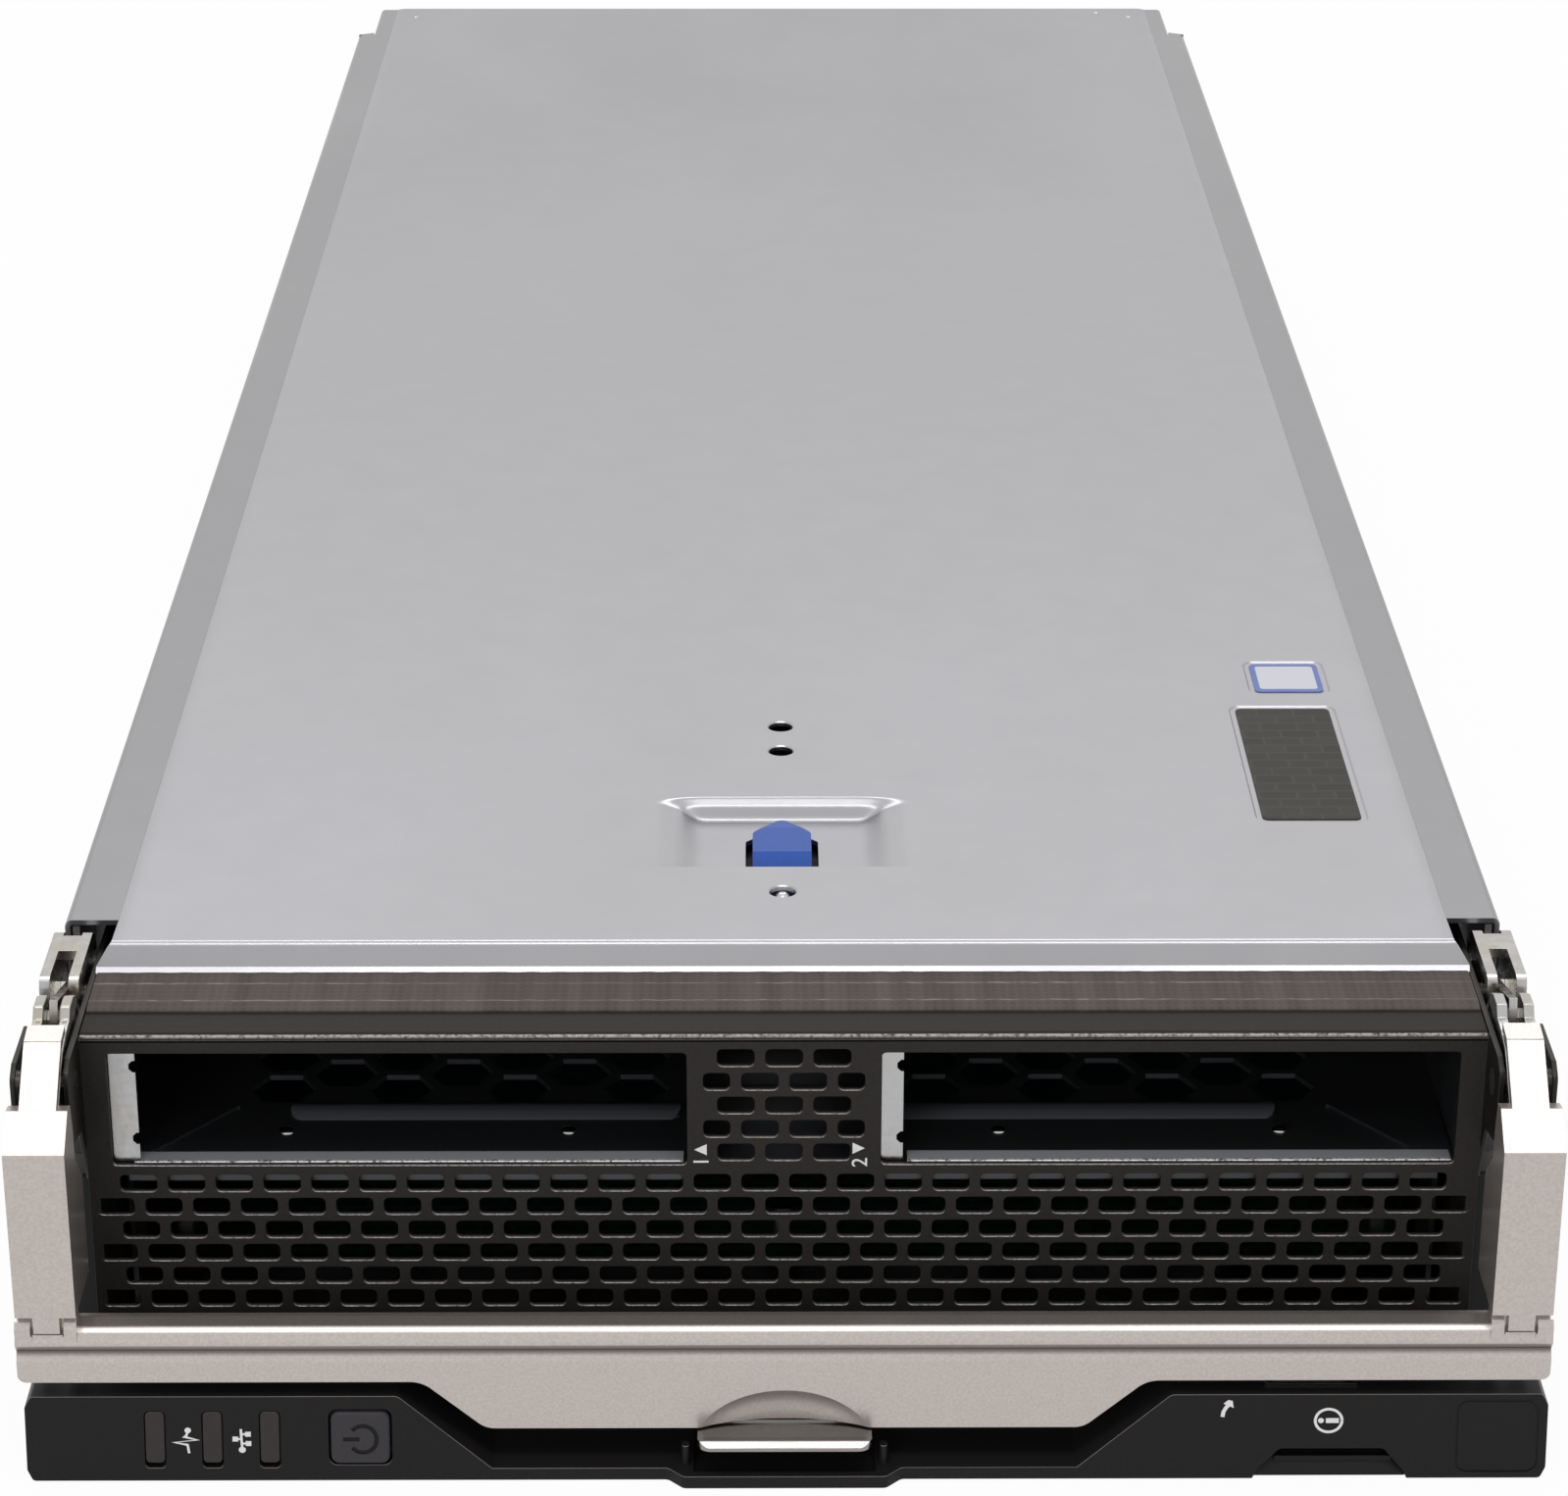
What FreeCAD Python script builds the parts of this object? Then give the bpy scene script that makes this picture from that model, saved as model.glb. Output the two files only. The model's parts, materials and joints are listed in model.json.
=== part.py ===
"""Half-height blade server lying on its side: millimetres, +Z up, -Y is the handle end.

Places are worked out from the bezel's front face (Y = 0) and the underside (Z = 0).
When a piece is saved, the whole frame moves along Y so that the origin is the centre of
the part's footprint. Left pieces are the mirror of right pieces unless a function says so.
"""
import FreeCAD, Part
import math
import os

V = FreeCAD.Vector
X_AXIS, Y_AXIS, Z_AXIS = V(1, 0, 0), V(0, 1, 0), V(0, 0, 1)

# ---- Driving dimensions ----
# chassis
bodyHalf = 106.0            # half the width over the cover's side flanges
bodyHeight = 63.5
rearY = 577.0               # rear edge of the cover
tailY = 553.0               # the rear corners step in behind this
tailHalf = bodyHalf - 3.7
shoulderY = 29.0            # the wide part of the body starts here
hollowDepth = 15.0          # how far the corner pockets reach behind the shoulder
neckHalf = bodyHalf - 6.0   # half the width of the narrow front
panSheet = 1.0
coverSheet = 0.8
bendRadius = 0.8
fit = 0.3                   # clearance between pieces that move past each other
smallRadius = 3.5                   # corners under this are drawn as two flats
pressGap = 0.1              # clearance between fixed pieces

# cover
foldY = 21.0
foldHalf = neckHalf - 1.3
foldDrop = 3.7
coverFlange = 9.5
stripWidth = 8.0            # side strips lie a little lower than the middle
stripDrop = 0.3
coverTravel = 12.0
recessHalf = 18.5
recessFrontY = 46.6
recessLength = 26.1
recessDepth = 4.0
recessSlope = 6.7
buttonHalf = 4.85
buttonLength = 15.0
buttonTravel = 2.0
holeRadius = 2.0
holeYs = (38.0, 90.5, 100.3)
labelPocket = 0.25
badgeX, badgeY = (bodyHalf - 31.4, bodyHalf - 15.4), (63.9, 106.5)
stickerX, stickerY = (bodyHalf - 27.2, bodyHalf - 15.4), (114.8, 126.7)

# bezel
bezelSheet = 1.0
bezelTop = bodyHeight - 4.7
bezelBottom = 3.4
bezelShelf = 20.4
bayInner, bayOuter = 13.9, neckHalf - 3.5
bayHigh = bezelTop - 2.7
bayLow = bayHigh - 18.1
slotPitch, slotWidth, slotHeight, slotRise = 6.885, 5.09, 2.5, 3.81
slotTopZ = bayLow - 2.9             # centre height of the top row below the bays
columnTopZ = bayHigh - 0.8           # centre height of the top row between the bays
columnRows = 5
fieldRows = 6

# drive cage
cageSheet = 0.8
cageDepth = 112.0
hexAcross = 8.5
hexWeb = 1.6
hexRows, hexColumns = 2, 7
rivetX = (bayInner + 17.5, bayOuter - 23.9)
ridgeEnd = bayOuter - 24.5

# handle
pivotY, pivotZ = -5.0, bodyHeight - 9.5
pinRadius = 2.0
pinFit = 0.05
handleFront = -21.0
handleSwing = 60.0
barHalf = bodyHalf + 2.5
armInner, armOuter = neckHalf - 0.4, bodyHalf + 2.2
neckInner, neckOuter = bodyHalf - 4.8, bodyHalf + 0.4
armBottom, armKnee = 25.3, 51.1
leverSheet = 1.5
leverInner, leverOuter = bodyHalf - 4.8, bodyHalf + 0.5
castWall = 1.5
barTop, barCrease, barSideBottom, barBottom = 22.0, 19.1, 14.6, 6.9
barDepth = 8.6
barWideHalf, barNarrowHalf = barHalf - 57.1, barHalf - 66.0
scoopHalf, scoopTop = 12.5, 13.4
tailPinY, tailPinZ = pivotY + 9.5, pivotZ + 5.5
drivePinRadius = 1.2

# cams
camPivotY = 22.0
camPlates = ((bodyHalf - 4.5, bodyHalf - 3.0), (bodyHalf - 0.3, bodyHalf + 1.2))
camTop = bodyHeight - 1.1

# pivot brackets
bracketInner, bracketOuter, bracketSheet = neckHalf + pressGap, bodyHalf + 1.6, 0.8

# front panel
panelHalf = barHalf - 0.5
panelHeight = 12.4
panelWall = 1.6
panelSlantTop, panelSlantBottom = panelHalf - 53.1, panelHalf - 65.6
lipHeight = 2.0
bumpHalf, bumpFront = 14.3, -25.8
windowXs = (18.6 - panelHalf, 26.75 - panelHalf, 34.9 - panelHalf)
windowWidth, windowHeight, windowLow = 2.4, 8.4, 1.4
powerX, powerSize, powerLow, powerTravel = 47.75 - panelHalf, 8.5, 1.4, 0.8
tabX = (panelHalf - 36.4, panelHalf - 23.3)
tabSheet, tabLength, tabTravel = 0.8, 90.0, 60.0
tabLow = 1.9

# inside
boardLow, boardThick = 6.0, 1.6
boardFront, boardRear = 26.0, 552.0
boardHalf = bodyHalf - 9.6
cpuYs = (225.0, 385.0)
sinkHalf, sinkLength, sinkTop = 46.5, 108.0, 55.0
finPitch, finThick = 4.4, 0.6
dimmFirst, dimmPitch, dimmCount = boardHalf - 42.4, 7.6, 6
dimmLength, dimmHeight, dimmThick = 133.0, 31.0, 1.3
socketLength, socketWidth, socketHeight = 142.0, 6.4, 8.0

boardTop = boardLow + boardThick
frontY = bumpFront
originY = (rearY + frontY) / 2.0
coverUnder = bodyHeight - coverSheet
stripUnder = bodyHeight - stripDrop - coverSheet
wallTopHalf = bodyHalf - coverSheet - fit
wallTop = stripUnder - fit


# ---- Helpers ----
def save(name, shape):
    """Move a finished piece into the part's frame and write it."""
    shape = shape.removeSplitter()
    shape.translate(V(0, -originY, 0))
    shape.exportStep("parts/%s.step" % name)
    print("%-24s %2d solid(s) %9.1f mm3" % (name, len(shape.Solids), shape.Volume))


def block(x, y, z):
    return Part.makeBox(x[1] - x[0], y[1] - y[0], z[1] - z[0], V(x[0], y[0], z[0]))


def rod(start, radius, length, axis):
    return Part.makeCylinder(radius, length, V(*start), axis)


def stud(start, radius, length, axis, sides=8):
    """Plain-sided pin for screws and posts; radius is to the corners."""
    turns = [math.radians((i + 0.5) * 360.0 / sides) for i in range(sides)]
    pairs = [(radius * math.cos(t), radius * math.sin(t)) for t in turns]
    x, y, z = start
    if axis == X_AXIS:
        return across_x([(y + a, z + b) for a, b in pairs], (x, x + length))
    if axis == Y_AXIS:
        return along_y([(x + a, z + b) for a, b in pairs], (y, y + length))
    return upright([(x + a, y + b) for a, b in pairs], (z, z + length))


def fuse(shapes):
    return shapes[0].fuse(shapes[1:]) if len(shapes) > 1 else shapes[0]


def mirrored(shape):
    return shape.mirror(V(0, 0, 0), X_AXIS)


def both_sides(shape):
    return [shape, mirrored(shape)]


def corner_cut(before, corner, after, radius):
    """Tangent points and middle point of the arc that rounds one corner."""
    to_before = (before - corner).normalize()
    to_after = (after - corner).normalize()
    half = to_before.getAngle(to_after) / 2.0
    reach = radius / math.tan(half)
    bisector = (to_before + to_after).normalize()
    centre = corner + bisector * (radius / math.sin(half))
    middle = centre - bisector * radius
    return corner + to_before * reach, middle, corner + to_after * reach


def outline(points, place):
    """Closed wire through points (a, b) or (a, b, radius), placed in space by place(a, b).

    A corner below smallRadius is cut by two flats, which keeps the mesh light.
    """
    corners = [place(p[0], p[1]) for p in points]
    radii = [p[2] if len(p) > 2 else 0.0 for p in points]
    stops = []
    count = len(points)
    for i in range(count):
        if radii[i] > 0:
            stops.append(corner_cut(corners[i - 1], corners[i], corners[(i + 1) % count], radii[i]))
        else:
            stops.append((corners[i], None, corners[i]))
    edges = []
    for i in range(count):
        start, middle, end = stops[i]
        if middle is not None and radii[i] < smallRadius:
            edges += [Part.makeLine(start, middle), Part.makeLine(middle, end)]
        elif middle is not None:
            edges.append(Part.Arc(start, middle, end).toShape())
        following = stops[(i + 1) % count][0]
        if end.distanceToPoint(following) > 1e-6:
            edges.append(Part.makeLine(end, following))
    return Part.Wire(edges)


def across_x(points, x):
    """Solid with an outline in (Y, Z), running over the X range."""
    wire = outline(points, lambda a, b: V(x[0], a, b))
    return Part.Face(wire).extrude(V(x[1] - x[0], 0, 0))


def along_y(points, y):
    """Solid with an outline in (X, Z), running over the Y range."""
    wire = outline(points, lambda a, b: V(a, y[0], b))
    return Part.Face(wire).extrude(V(0, y[1] - y[0], 0))


def upright(points, z):
    """Solid with an outline in (X, Y), running over the Z range."""
    wire = outline(points, lambda a, b: V(a, b, z[0]))
    return Part.Face(wire).extrude(V(0, 0, z[1] - z[0]))


def sheet(points, thickness, bend=bendRadius):
    """Outline of bent sheet: points run along one face and the metal lies to their left."""
    face = [V(p[0], p[1], 0) for p in points]
    count = len(face)
    lefts = []
    for i in range(count - 1):
        run = (face[i + 1] - face[i]).normalize()
        lefts.append(V(-run.y, run.x, 0))
    near, far = [(face[0].x, face[0].y)], []
    start = face[0] + lefts[0] * thickness
    far.append((start.x, start.y))
    for i in range(1, count - 1):
        turn = (face[i] - face[i - 1]).cross(face[i + 1] - face[i]).z
        inner, outer = bend, bend + thickness
        mitre = (lefts[i - 1] + lefts[i]).normalize()
        shifted = face[i] + mitre * (thickness / mitre.dot(lefts[i]))
        if bend > 0:
            near.append((face[i].x, face[i].y, outer if turn > 0 else inner))
            far.append((shifted.x, shifted.y, inner if turn > 0 else outer))
        else:
            near.append((face[i].x, face[i].y))
            far.append((shifted.x, shifted.y))
    end = face[-1] + lefts[-1] * thickness
    near.append((face[-1].x, face[-1].y))
    far.append((end.x, end.y))
    return near + far[::-1]


def frustum(low, low_z, high, high_z):
    """Solid between two rectangles ((x0, x1), (y0, y1)) at two heights."""
    wires = []
    for (x, y), z in ((low, low_z), (high, high_z)):
        corners = [V(x[0], y[0], z), V(x[1], y[0], z), V(x[1], y[1], z), V(x[0], y[1], z)]
        wires.append(Part.makePolygon(corners + corners[:1]))
    return Part.makeLoft(wires, True, True)


def rounded_rect(x, y, radius):
    return [(x[0], y[0], radius), (x[1], y[0], radius), (x[1], y[1], radius), (x[0], y[1], radius)]


def chamfered_rect(x, y, cut):
    return [(x[0] + cut, y[0]), (x[1] - cut, y[0]), (x[1], y[0] + cut), (x[1], y[1] - cut),
            (x[1] - cut, y[1]), (x[0] + cut, y[1]), (x[0], y[1] - cut), (x[0], y[0] + cut)]


def turned_edges(shape, radius, chosen):
    """Round the edges whose middle point passes the test."""
    edges = [e for e in shape.Edges if chosen(e.valueAt((e.FirstParameter + e.LastParameter) / 2.0))]
    return shape.makeFillet(radius, edges)


# ---- Chassis ----
def base_pan():
    joggle_top = bodyHeight - coverFlange - 1.0
    joggle_low = joggle_top - 2.0
    wide = [(-wallTopHalf, wallTop), (-wallTopHalf, joggle_top), (-bodyHalf, joggle_low), (-bodyHalf, 0),
            (bodyHalf, 0), (bodyHalf, joggle_low), (wallTopHalf, joggle_top), (wallTopHalf, wallTop)]
    body = along_y(sheet(wide, panSheet), (shoulderY + fit, tailY - 2.0))
    tail_half = tailHalf - coverSheet - fit
    tail = [(-tail_half, wallTop), (-tail_half, 0), (tail_half, 0), (tail_half, wallTop)]
    rear = along_y(sheet(tail, panSheet), (tailY - 2.0 - panSheet, rearY - 1.0))
    neck_top = bezelTop - bezelSheet - fit
    neck = [(-neckHalf, neck_top), (-neckHalf, 0), (neckHalf, 0), (neckHalf, neck_top)]
    neck_back = shoulderY + hollowDepth
    front = along_y(sheet(neck, panSheet), (bezelSheet + 14.0, neck_back))
    nose = block((-neckHalf + panSheet, neckHalf - panSheet), (bezelSheet + fit, bezelSheet + 14.0),
                 (0, panSheet))
    pieces = [body, rear, front, nose]
    step = block((neckHalf - panSheet, wallTopHalf - panSheet), (neck_back - panSheet, neck_back),
                 (panSheet, neck_top))
    corner = block((tail_half - panSheet, wallTopHalf - panSheet), (tailY - 2.0 - panSheet, tailY - 2.0),
                   (panSheet, wallTop))
    pieces += both_sides(step) + both_sides(corner)
    pan = fuse(pieces)
    vents = []
    pitch = (neckHalf - 16.0) / 3.5
    for row in range(3):
        for column in range(7):
            middle = (column - 3) * pitch
            y = 60.0 + row * 12.0
            vents.append(block((middle - 9, middle + 9), (y - 2, y + 2), (-1, panSheet + 1)))
    return pan.cut(vents)


def cover_keepers():
    """Tabs on the side walls that the cover's hooks slide under."""
    tabs = []
    for y in hookYs:
        tab = block((wallTopHalf - panSheet - 2.2, wallTopHalf - panSheet), (y - 5, y + 5),
                    (wallTop - 4.0, wallTop - 3.2))
        tabs += both_sides(tab)
    return Part.makeCompound(tabs)


hookYs = (100.0, 235.0, 370.0, 505.0)


def cover_hooks():
    """L-shaped brackets spot-welded under the cover's side strips."""
    hooks = []
    for y in hookYs:
        low = wallTop - 5.1
        path = [(bodyHalf - 2.5, low), (bodyHalf - 5.4, low), (bodyHalf - 5.4, stripUnder)]
        hook = along_y(sheet(path[::-1], coverSheet, 0), (y - 5, y + 5))
        hooks += both_sides(hook)
    return Part.makeCompound(hooks)


def cover_rails():
    """Side strips of the cover: each turns down over the pan's wall and narrows at the tail."""
    strip_top = bodyHeight - stripDrop
    inner = bodyHalf - stripWidth + 0.05

    def rail(edge, y):
        path = [(edge, strip_top - coverFlange), (edge, strip_top), (inner, strip_top)]
        return along_y(sheet(path, coverSheet), y)

    step = [(tailHalf, tailY - 2.0), (bodyHalf, tailY - 2.0), (tailHalf, tailY)]
    right = fuse([rail(bodyHalf, (shoulderY, tailY - 2.0)), rail(tailHalf, (tailY - 2.0, rearY)),
                  upright(step, (strip_top - coverSheet, strip_top))])
    return Part.makeCompound([right, mirrored(right)])


def cover():
    inner = bodyHalf - stripWidth
    path = [(inner, bodyHeight - stripDrop), (inner - 1.2, bodyHeight), (-inner + 1.2, bodyHeight),
            (-inner, bodyHeight - stripDrop)]
    top = along_y(sheet(path, coverSheet), (shoulderY - 0.2, rearY))
    fold = [(foldY - 1.3, bodyHeight - foldDrop), (foldY, bodyHeight), (shoulderY, bodyHeight)]
    front = across_x(sheet(fold[::-1], coverSheet, 0.6), (-foldHalf, foldHalf))
    shell = fuse([top, front])

    depth_z = bodyHeight - recessDepth
    mouth = ((-recessHalf, recessHalf), (recessFrontY, recessFrontY + recessLength))
    floor_half = recessHalf - recessSlope
    floor = ((-floor_half, floor_half), (recessFrontY + 0.3, recessFrontY + recessLength - recessSlope))
    wall = coverSheet

    def grown(rect, by):
        return ((rect[0][0] - by, rect[0][1] + by), (rect[1][0] - by, rect[1][1] + by))

    outer = frustum(grown(floor, wall), depth_z - wall, grown(mouth, wall), bodyHeight - 0.05)
    cavity = frustum(floor, depth_z, mouth, bodyHeight + 0.001)
    shell = shell.fuse(outer).cut(cavity)
    window = [(-buttonHalf - 1.2, recessFrontY + 0.3), (buttonHalf + 1.2, recessFrontY + 0.3),
              (buttonHalf + 1.2, recessFrontY + 13.0), (0, recessFrontY + buttonLength + 3.2),
              (-buttonHalf - 1.2, recessFrontY + 13.0)]
    cuts = [upright(window, (depth_z - 2, depth_z + 0.5))]
    for y in holeYs:
        cuts.append(rod((0, y, bodyHeight - 3), holeRadius, 6, Z_AXIS))
    for x, y in ((badgeX, badgeY), (stickerX, stickerY)):
        field = rounded_rect((x[0] - 0.8, x[1] + 0.8), (y[0] - 0.8, y[1] + 0.8), 1.2)
        cuts.append(upright(field, (bodyHeight - labelPocket, bodyHeight + 1)))
    return shell.cut(cuts)


def cover_button():
    """Latch button: a house-shaped cap pointing to the rear, with a flange that keeps it in."""
    front = recessFrontY + 0.9
    tip = front + buttonLength
    top = bodyHeight - 1.5
    flange_top = bodyHeight - recessDepth - coverSheet - fit
    plan = [(-buttonHalf, front, 0.6), (buttonHalf, front, 0.6), (buttonHalf, tip - 4.6, 0.5),
            (0, tip, 0.6),
            (-buttonHalf, tip - 4.6, 0.5)]
    cap = upright(plan, (flange_top - 0.9, top))
    side = [(front - 1, flange_top - 2), (front - 1, top - 2.2), (front + 2.4, top - 0.4),
            (front + 5, top),
            (tip + 1, top), (tip + 1, flange_top - 2)]
    cap = cap.common(across_x(side, (-buttonHalf - 1, buttonHalf + 1)))
    flange = upright(rounded_rect((-buttonHalf - 2.6, buttonHalf + 2.6), (front + 1.0, tip + 3.0), 1.0),
                     (flange_top - 0.9, flange_top))
    return cap.fuse(flange)


def label_plate(x, y):
    return upright(rounded_rect(x, y, 0.9), (bodyHeight - labelPocket, bodyHeight - 0.03))


# ---- Bezel and drive cage ----
def slot(x, z, width):
    half, tall = width / 2, slotHeight / 2
    return block((x - half, x + half), (-1, bezelSheet + 1), (z - tall, z + tall))


def bezel_slots():
    """Brick pattern of airflow slots: a field under the bays and a column between them."""
    cuts = []
    for row in range(fieldRows):
        count = int(2 * (neckHalf - 3.5) / slotPitch) + row % 2
        z = slotTopZ - row * slotRise
        for i in range(count):
            cuts.append(slot((i - (count - 1) / 2.0) * slotPitch, z, slotWidth))
    for row in range(columnRows):
        z = columnTopZ - row * slotRise
        if row % 2 == 0:
            cuts += [slot(i * slotPitch, z, slotWidth) for i in (-1, 0, 1)]
        else:
            cuts += [slot(i * slotPitch, z, slotWidth) for i in (-0.5, 0.5)]
            cuts += [slot(i * slotPitch * 1.4, z, slotWidth * 0.72) for i in (-1, 1)]
    return cuts


def bezel():
    path = [(bezelShelf, bezelTop), (0, bezelTop), (0, bezelBottom)]
    skin = across_x(sheet(path, bezelSheet, 0.6), (-neckHalf, neckHalf))
    flange = block((neckHalf - bezelSheet, neckHalf), (bezelSheet - 0.2, bezelSheet + 14.0 - pressGap),
                   (bezelBottom, bezelTop - bezelSheet))
    plate = fuse([skin] + both_sides(flange))
    bay = along_y(rounded_rect((bayInner, bayOuter), (bayLow, bayHigh), 0.8), (-1, bezelSheet + 1))
    return plate.cut(both_sides(bay) + bezel_slots())


def gasket():
    """Fabric-over-foam grounding strip glued on the bezel's shelf."""
    low, high = bezelTop, bezelTop + 0.9
    section = [(5.6, low), (foldY - 1.8, low), (foldY - 1.8, high, 0.4), (5.6, high, 0.5)]
    return across_x(section, (-neckHalf, neckHalf))


cageHalf = neckHalf - bezelSheet - 1.2
cageFloor = bayLow - 0.6
cageRoof = bezelTop - bezelSheet - pressGap


def hexagon(x, y):
    radius = hexAcross / math.sqrt(3.0)
    points = [(x + radius * math.cos(math.radians(a)), y + radius * math.sin(math.radians(a)))
              for a in range(0, 360, 60)]
    return upright(points, (cageFloor - 3, cageFloor + 2))


def drive_cage():
    front = bezelSheet + bendRadius
    t = cageSheet
    low = cageFloor - t
    pieces = [block((-cageHalf, cageHalf), (front, cageDepth), (low, cageFloor))]
    lip = block((bayInner + 0.8, bayOuter - 2.0), (front, front + t), (low - 2.0, low))
    pieces += both_sides(lip)
    ridge = frustum(((bayInner + 1.2, ridgeEnd), (15.2, 19.2)), cageFloor - 0.1,
                    ((bayInner + 2.2, ridgeEnd - 1.0), (16.4, 18.0)), cageFloor + 0.9)
    pieces += both_sides(ridge)
    for y in (20.0, 96.0):
        leg = block((cageHalf - t, cageHalf), (y, y + 12.0), (panSheet, low + t))
        foot = block((cageHalf - 9.0, cageHalf), (y, y + 12.0), (panSheet, panSheet + t))
        pieces += both_sides(leg) + both_sides(foot)
    cage = fuse(pieces)
    step = hexAcross + hexWeb
    holes = []
    for column in range(hexColumns):
        x = bayInner + 8.0 + column * step * math.sqrt(3.0) / 2.0
        for row in range(hexRows):
            y = 24.6 + (row + 0.5 * (column % 2)) * step
            holes += both_sides(hexagon(x, y))
    return cage.cut(holes)


def cage_walls():
    """Outer wall plates of the cage, spot-welded on the edges of its floor."""
    front = bezelSheet + bendRadius
    wall = block((cageHalf - cageSheet, cageHalf), (front, cageDepth), (cageFloor, cageRoof))
    return Part.makeCompound(both_sides(wall))


def cage_divider():
    """Upright channel between the bays; air from the slotted column passes along it."""
    front = bezelSheet + bendRadius
    outer = bayInner - 0.1
    path = [(outer, cageRoof - cageSheet), (outer, cageFloor), (-outer, cageFloor),
            (-outer, cageRoof - cageSheet)]
    return along_y(sheet(path[::-1], cageSheet, 0), (front, cageDepth))


def cage_roof():
    """Flat lids over the two bays; the middle stays open under the cover's latch."""
    front = bezelSheet + bendRadius
    lid = block((bayInner - 0.9, cageHalf - cageSheet), (front, cageDepth),
                (cageRoof - cageSheet, cageRoof))
    return Part.makeCompound(both_sides(lid))


def cage_rivets():
    heads = []
    for x in rivetX:
        flat = upright(chamfered_rect((x - 2.0, x + 2.0), (9.5, 13.5), 1.2), (cageFloor, cageFloor + 0.7))
        heads += both_sides(flat)
    return Part.makeCompound(heads)


def guide_strip(inner, outer):
    """Bright strip beside a bay that carries the light to the drive's lamps."""
    y = (bezelSheet + 0.3, bezelSheet + 1.3)
    strip = block((inner, outer), y, (cageFloor, cageRoof - cageSheet))
    notches = [stud((outer, y[0] - 1, z), 1.0, 3, Y_AXIS) for z in (bayLow + 3.8, bayHigh - 2.7)]
    return strip.cut(notches)


def drive_backplane():
    board = block((-cageHalf, cageHalf), (cageDepth + 0.2, cageDepth + 1.8), (cageFloor - 0.8, cageRoof))
    ports = [along_y(chamfered_rect((x - 12, x + 12), (bayHigh - 4.6, bayHigh - 0.6), 1.5),
                     (cageDepth, cageDepth + 3))
             for x in (22.0 - cageHalf, -34.0, 34.0, cageHalf - 22.0)]
    return board.cut(ports)


def drive_connectors():
    """One blade-edge receptacle for each bay."""
    pieces = []
    for side in (-1, 1):
        middle = side * (bayInner + bayOuter) / 2.0
        low = bayLow + 3.0
        shell = block((middle - 21, middle + 21), (cageDepth - 7.0, cageDepth + 0.2), (low, low + 5.6))
        mouth = block((middle - 17, middle + 17), (cageDepth - 8.0, cageDepth - 2.0),
                      (low + 1.4, low + 4.2))
        blade = block((middle - 16, middle + 16), (cageDepth - 6.0, cageDepth - 1.9),
                      (low + 2.2, low + 3.4))
        pieces.append(shell.cut(mouth).fuse(blade))
    return Part.makeCompound(pieces)


# ---- Front panel ----
def panel_block():
    """Outline of the right half of the moulding, seen from the front."""
    return [(panelSlantBottom, 0), (panelHalf - 1.5, 0, 1.0), (panelHalf, 3.5),
            (panelHalf, panelHeight - 2.0),
            (panelHalf - 1.0, panelHeight, 0.6), (panelSlantTop, panelHeight, 1.2),
            (panelSlantBottom, lipHeight)]


def front_panel():
    back = -0.3
    wall = panelWall
    solids = both_sides(along_y(panel_block(), (handleFront, back)))
    plan = [(-panelSlantBottom - 1, handleFront), (-bumpHalf - 3.2, handleFront, 2.0),
            (-bumpHalf, bumpFront, 2.0),
            (bumpHalf, bumpFront, 2.0), (bumpHalf + 3.2, handleFront, 2.0),
            (panelSlantBottom + 1, handleFront),
            (panelSlantBottom + 1, back), (-panelSlantBottom - 1, back)]
    solids.append(upright(plan, (0, lipHeight)))
    body = fuse(solids)
    inner = [(panelSlantBottom + 2.6, wall), (panelHalf - wall, wall),
             (panelHalf - wall, panelHeight - wall),
             (panelSlantTop + 0.6, panelHeight - wall)]
    cuts = both_sides(along_y(inner, (handleFront + wall, back + 1)))
    pocket = [(-bumpHalf + 1.5, bumpFront + 1.4), (bumpHalf - 1.5, bumpFront + 1.4),
              (bumpHalf - 1.5, -12.0),
              (-bumpHalf + 1.5, -12.0)]
    cuts.append(upright(pocket, (1.0, lipHeight + 1)))
    cuts.append(block((-panelSlantBottom + 2, panelSlantBottom - 2), (-8.0, back + 1),
                      (1.0, lipHeight + 1)))
    for x in windowXs:
        window = chamfered_rect((x - windowWidth / 2 - pressGap, x + windowWidth / 2 + pressGap),
                                (windowLow - pressGap, windowLow + windowHeight + pressGap), 0.7)
        cuts.append(along_y(window, (handleFront - 1, handleFront + wall + 1)))
    power = chamfered_rect((powerX - powerSize / 2 - fit, powerX + powerSize / 2 + fit),
                           (powerLow - 0.1, powerLow + powerSize + fit), 0.8)
    cuts.append(along_y(power, (handleFront - 1, handleFront + wall + 1)))
    slot_x = (tabX[0] - 4.6, tabX[1] + 4.6)
    cuts.append(block(slot_x, (handleFront - 1, back + 1), (tabLow - 0.35, tabLow + tabSheet + fit)))
    notch = [(tabX[0] - 4.2, -1), (tabX[1] + 3.8, -1), (tabX[1] + 3.8, 0), (tabX[1], 3.4, 0.8),
             (tabX[0], 3.4, 0.8),
             (tabX[0] - 4.2, 0)]
    cuts.append(along_y(notch, (handleFront - 1, handleFront + 3.0)))
    plate = rounded_rect((panelHalf - 11.8, panelHalf - 1.4), (1.0, 10.8), 1.0)
    cuts.append(along_y(plate, (handleFront - 1, handleFront + 0.25)))
    cuts.append(block(usbX, usbY, (1, panelHeight + 1)))
    keeper = block((-9.0, 9.0), (-11.6, -10.2), (lipHeight - 0.5, keeperTop))
    pegs = both_sides(rod((bumpHalf - 0.2, -20.0, lipHeight - 0.5), 0.6, 2.6, Z_AXIS))
    return body.cut(cuts).fuse([keeper] + pegs)


usbX, usbY = (panelHalf - 39.7, panelHalf - 26.3), (-18.7, -12.7)
keeperTop = 5.2


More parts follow.
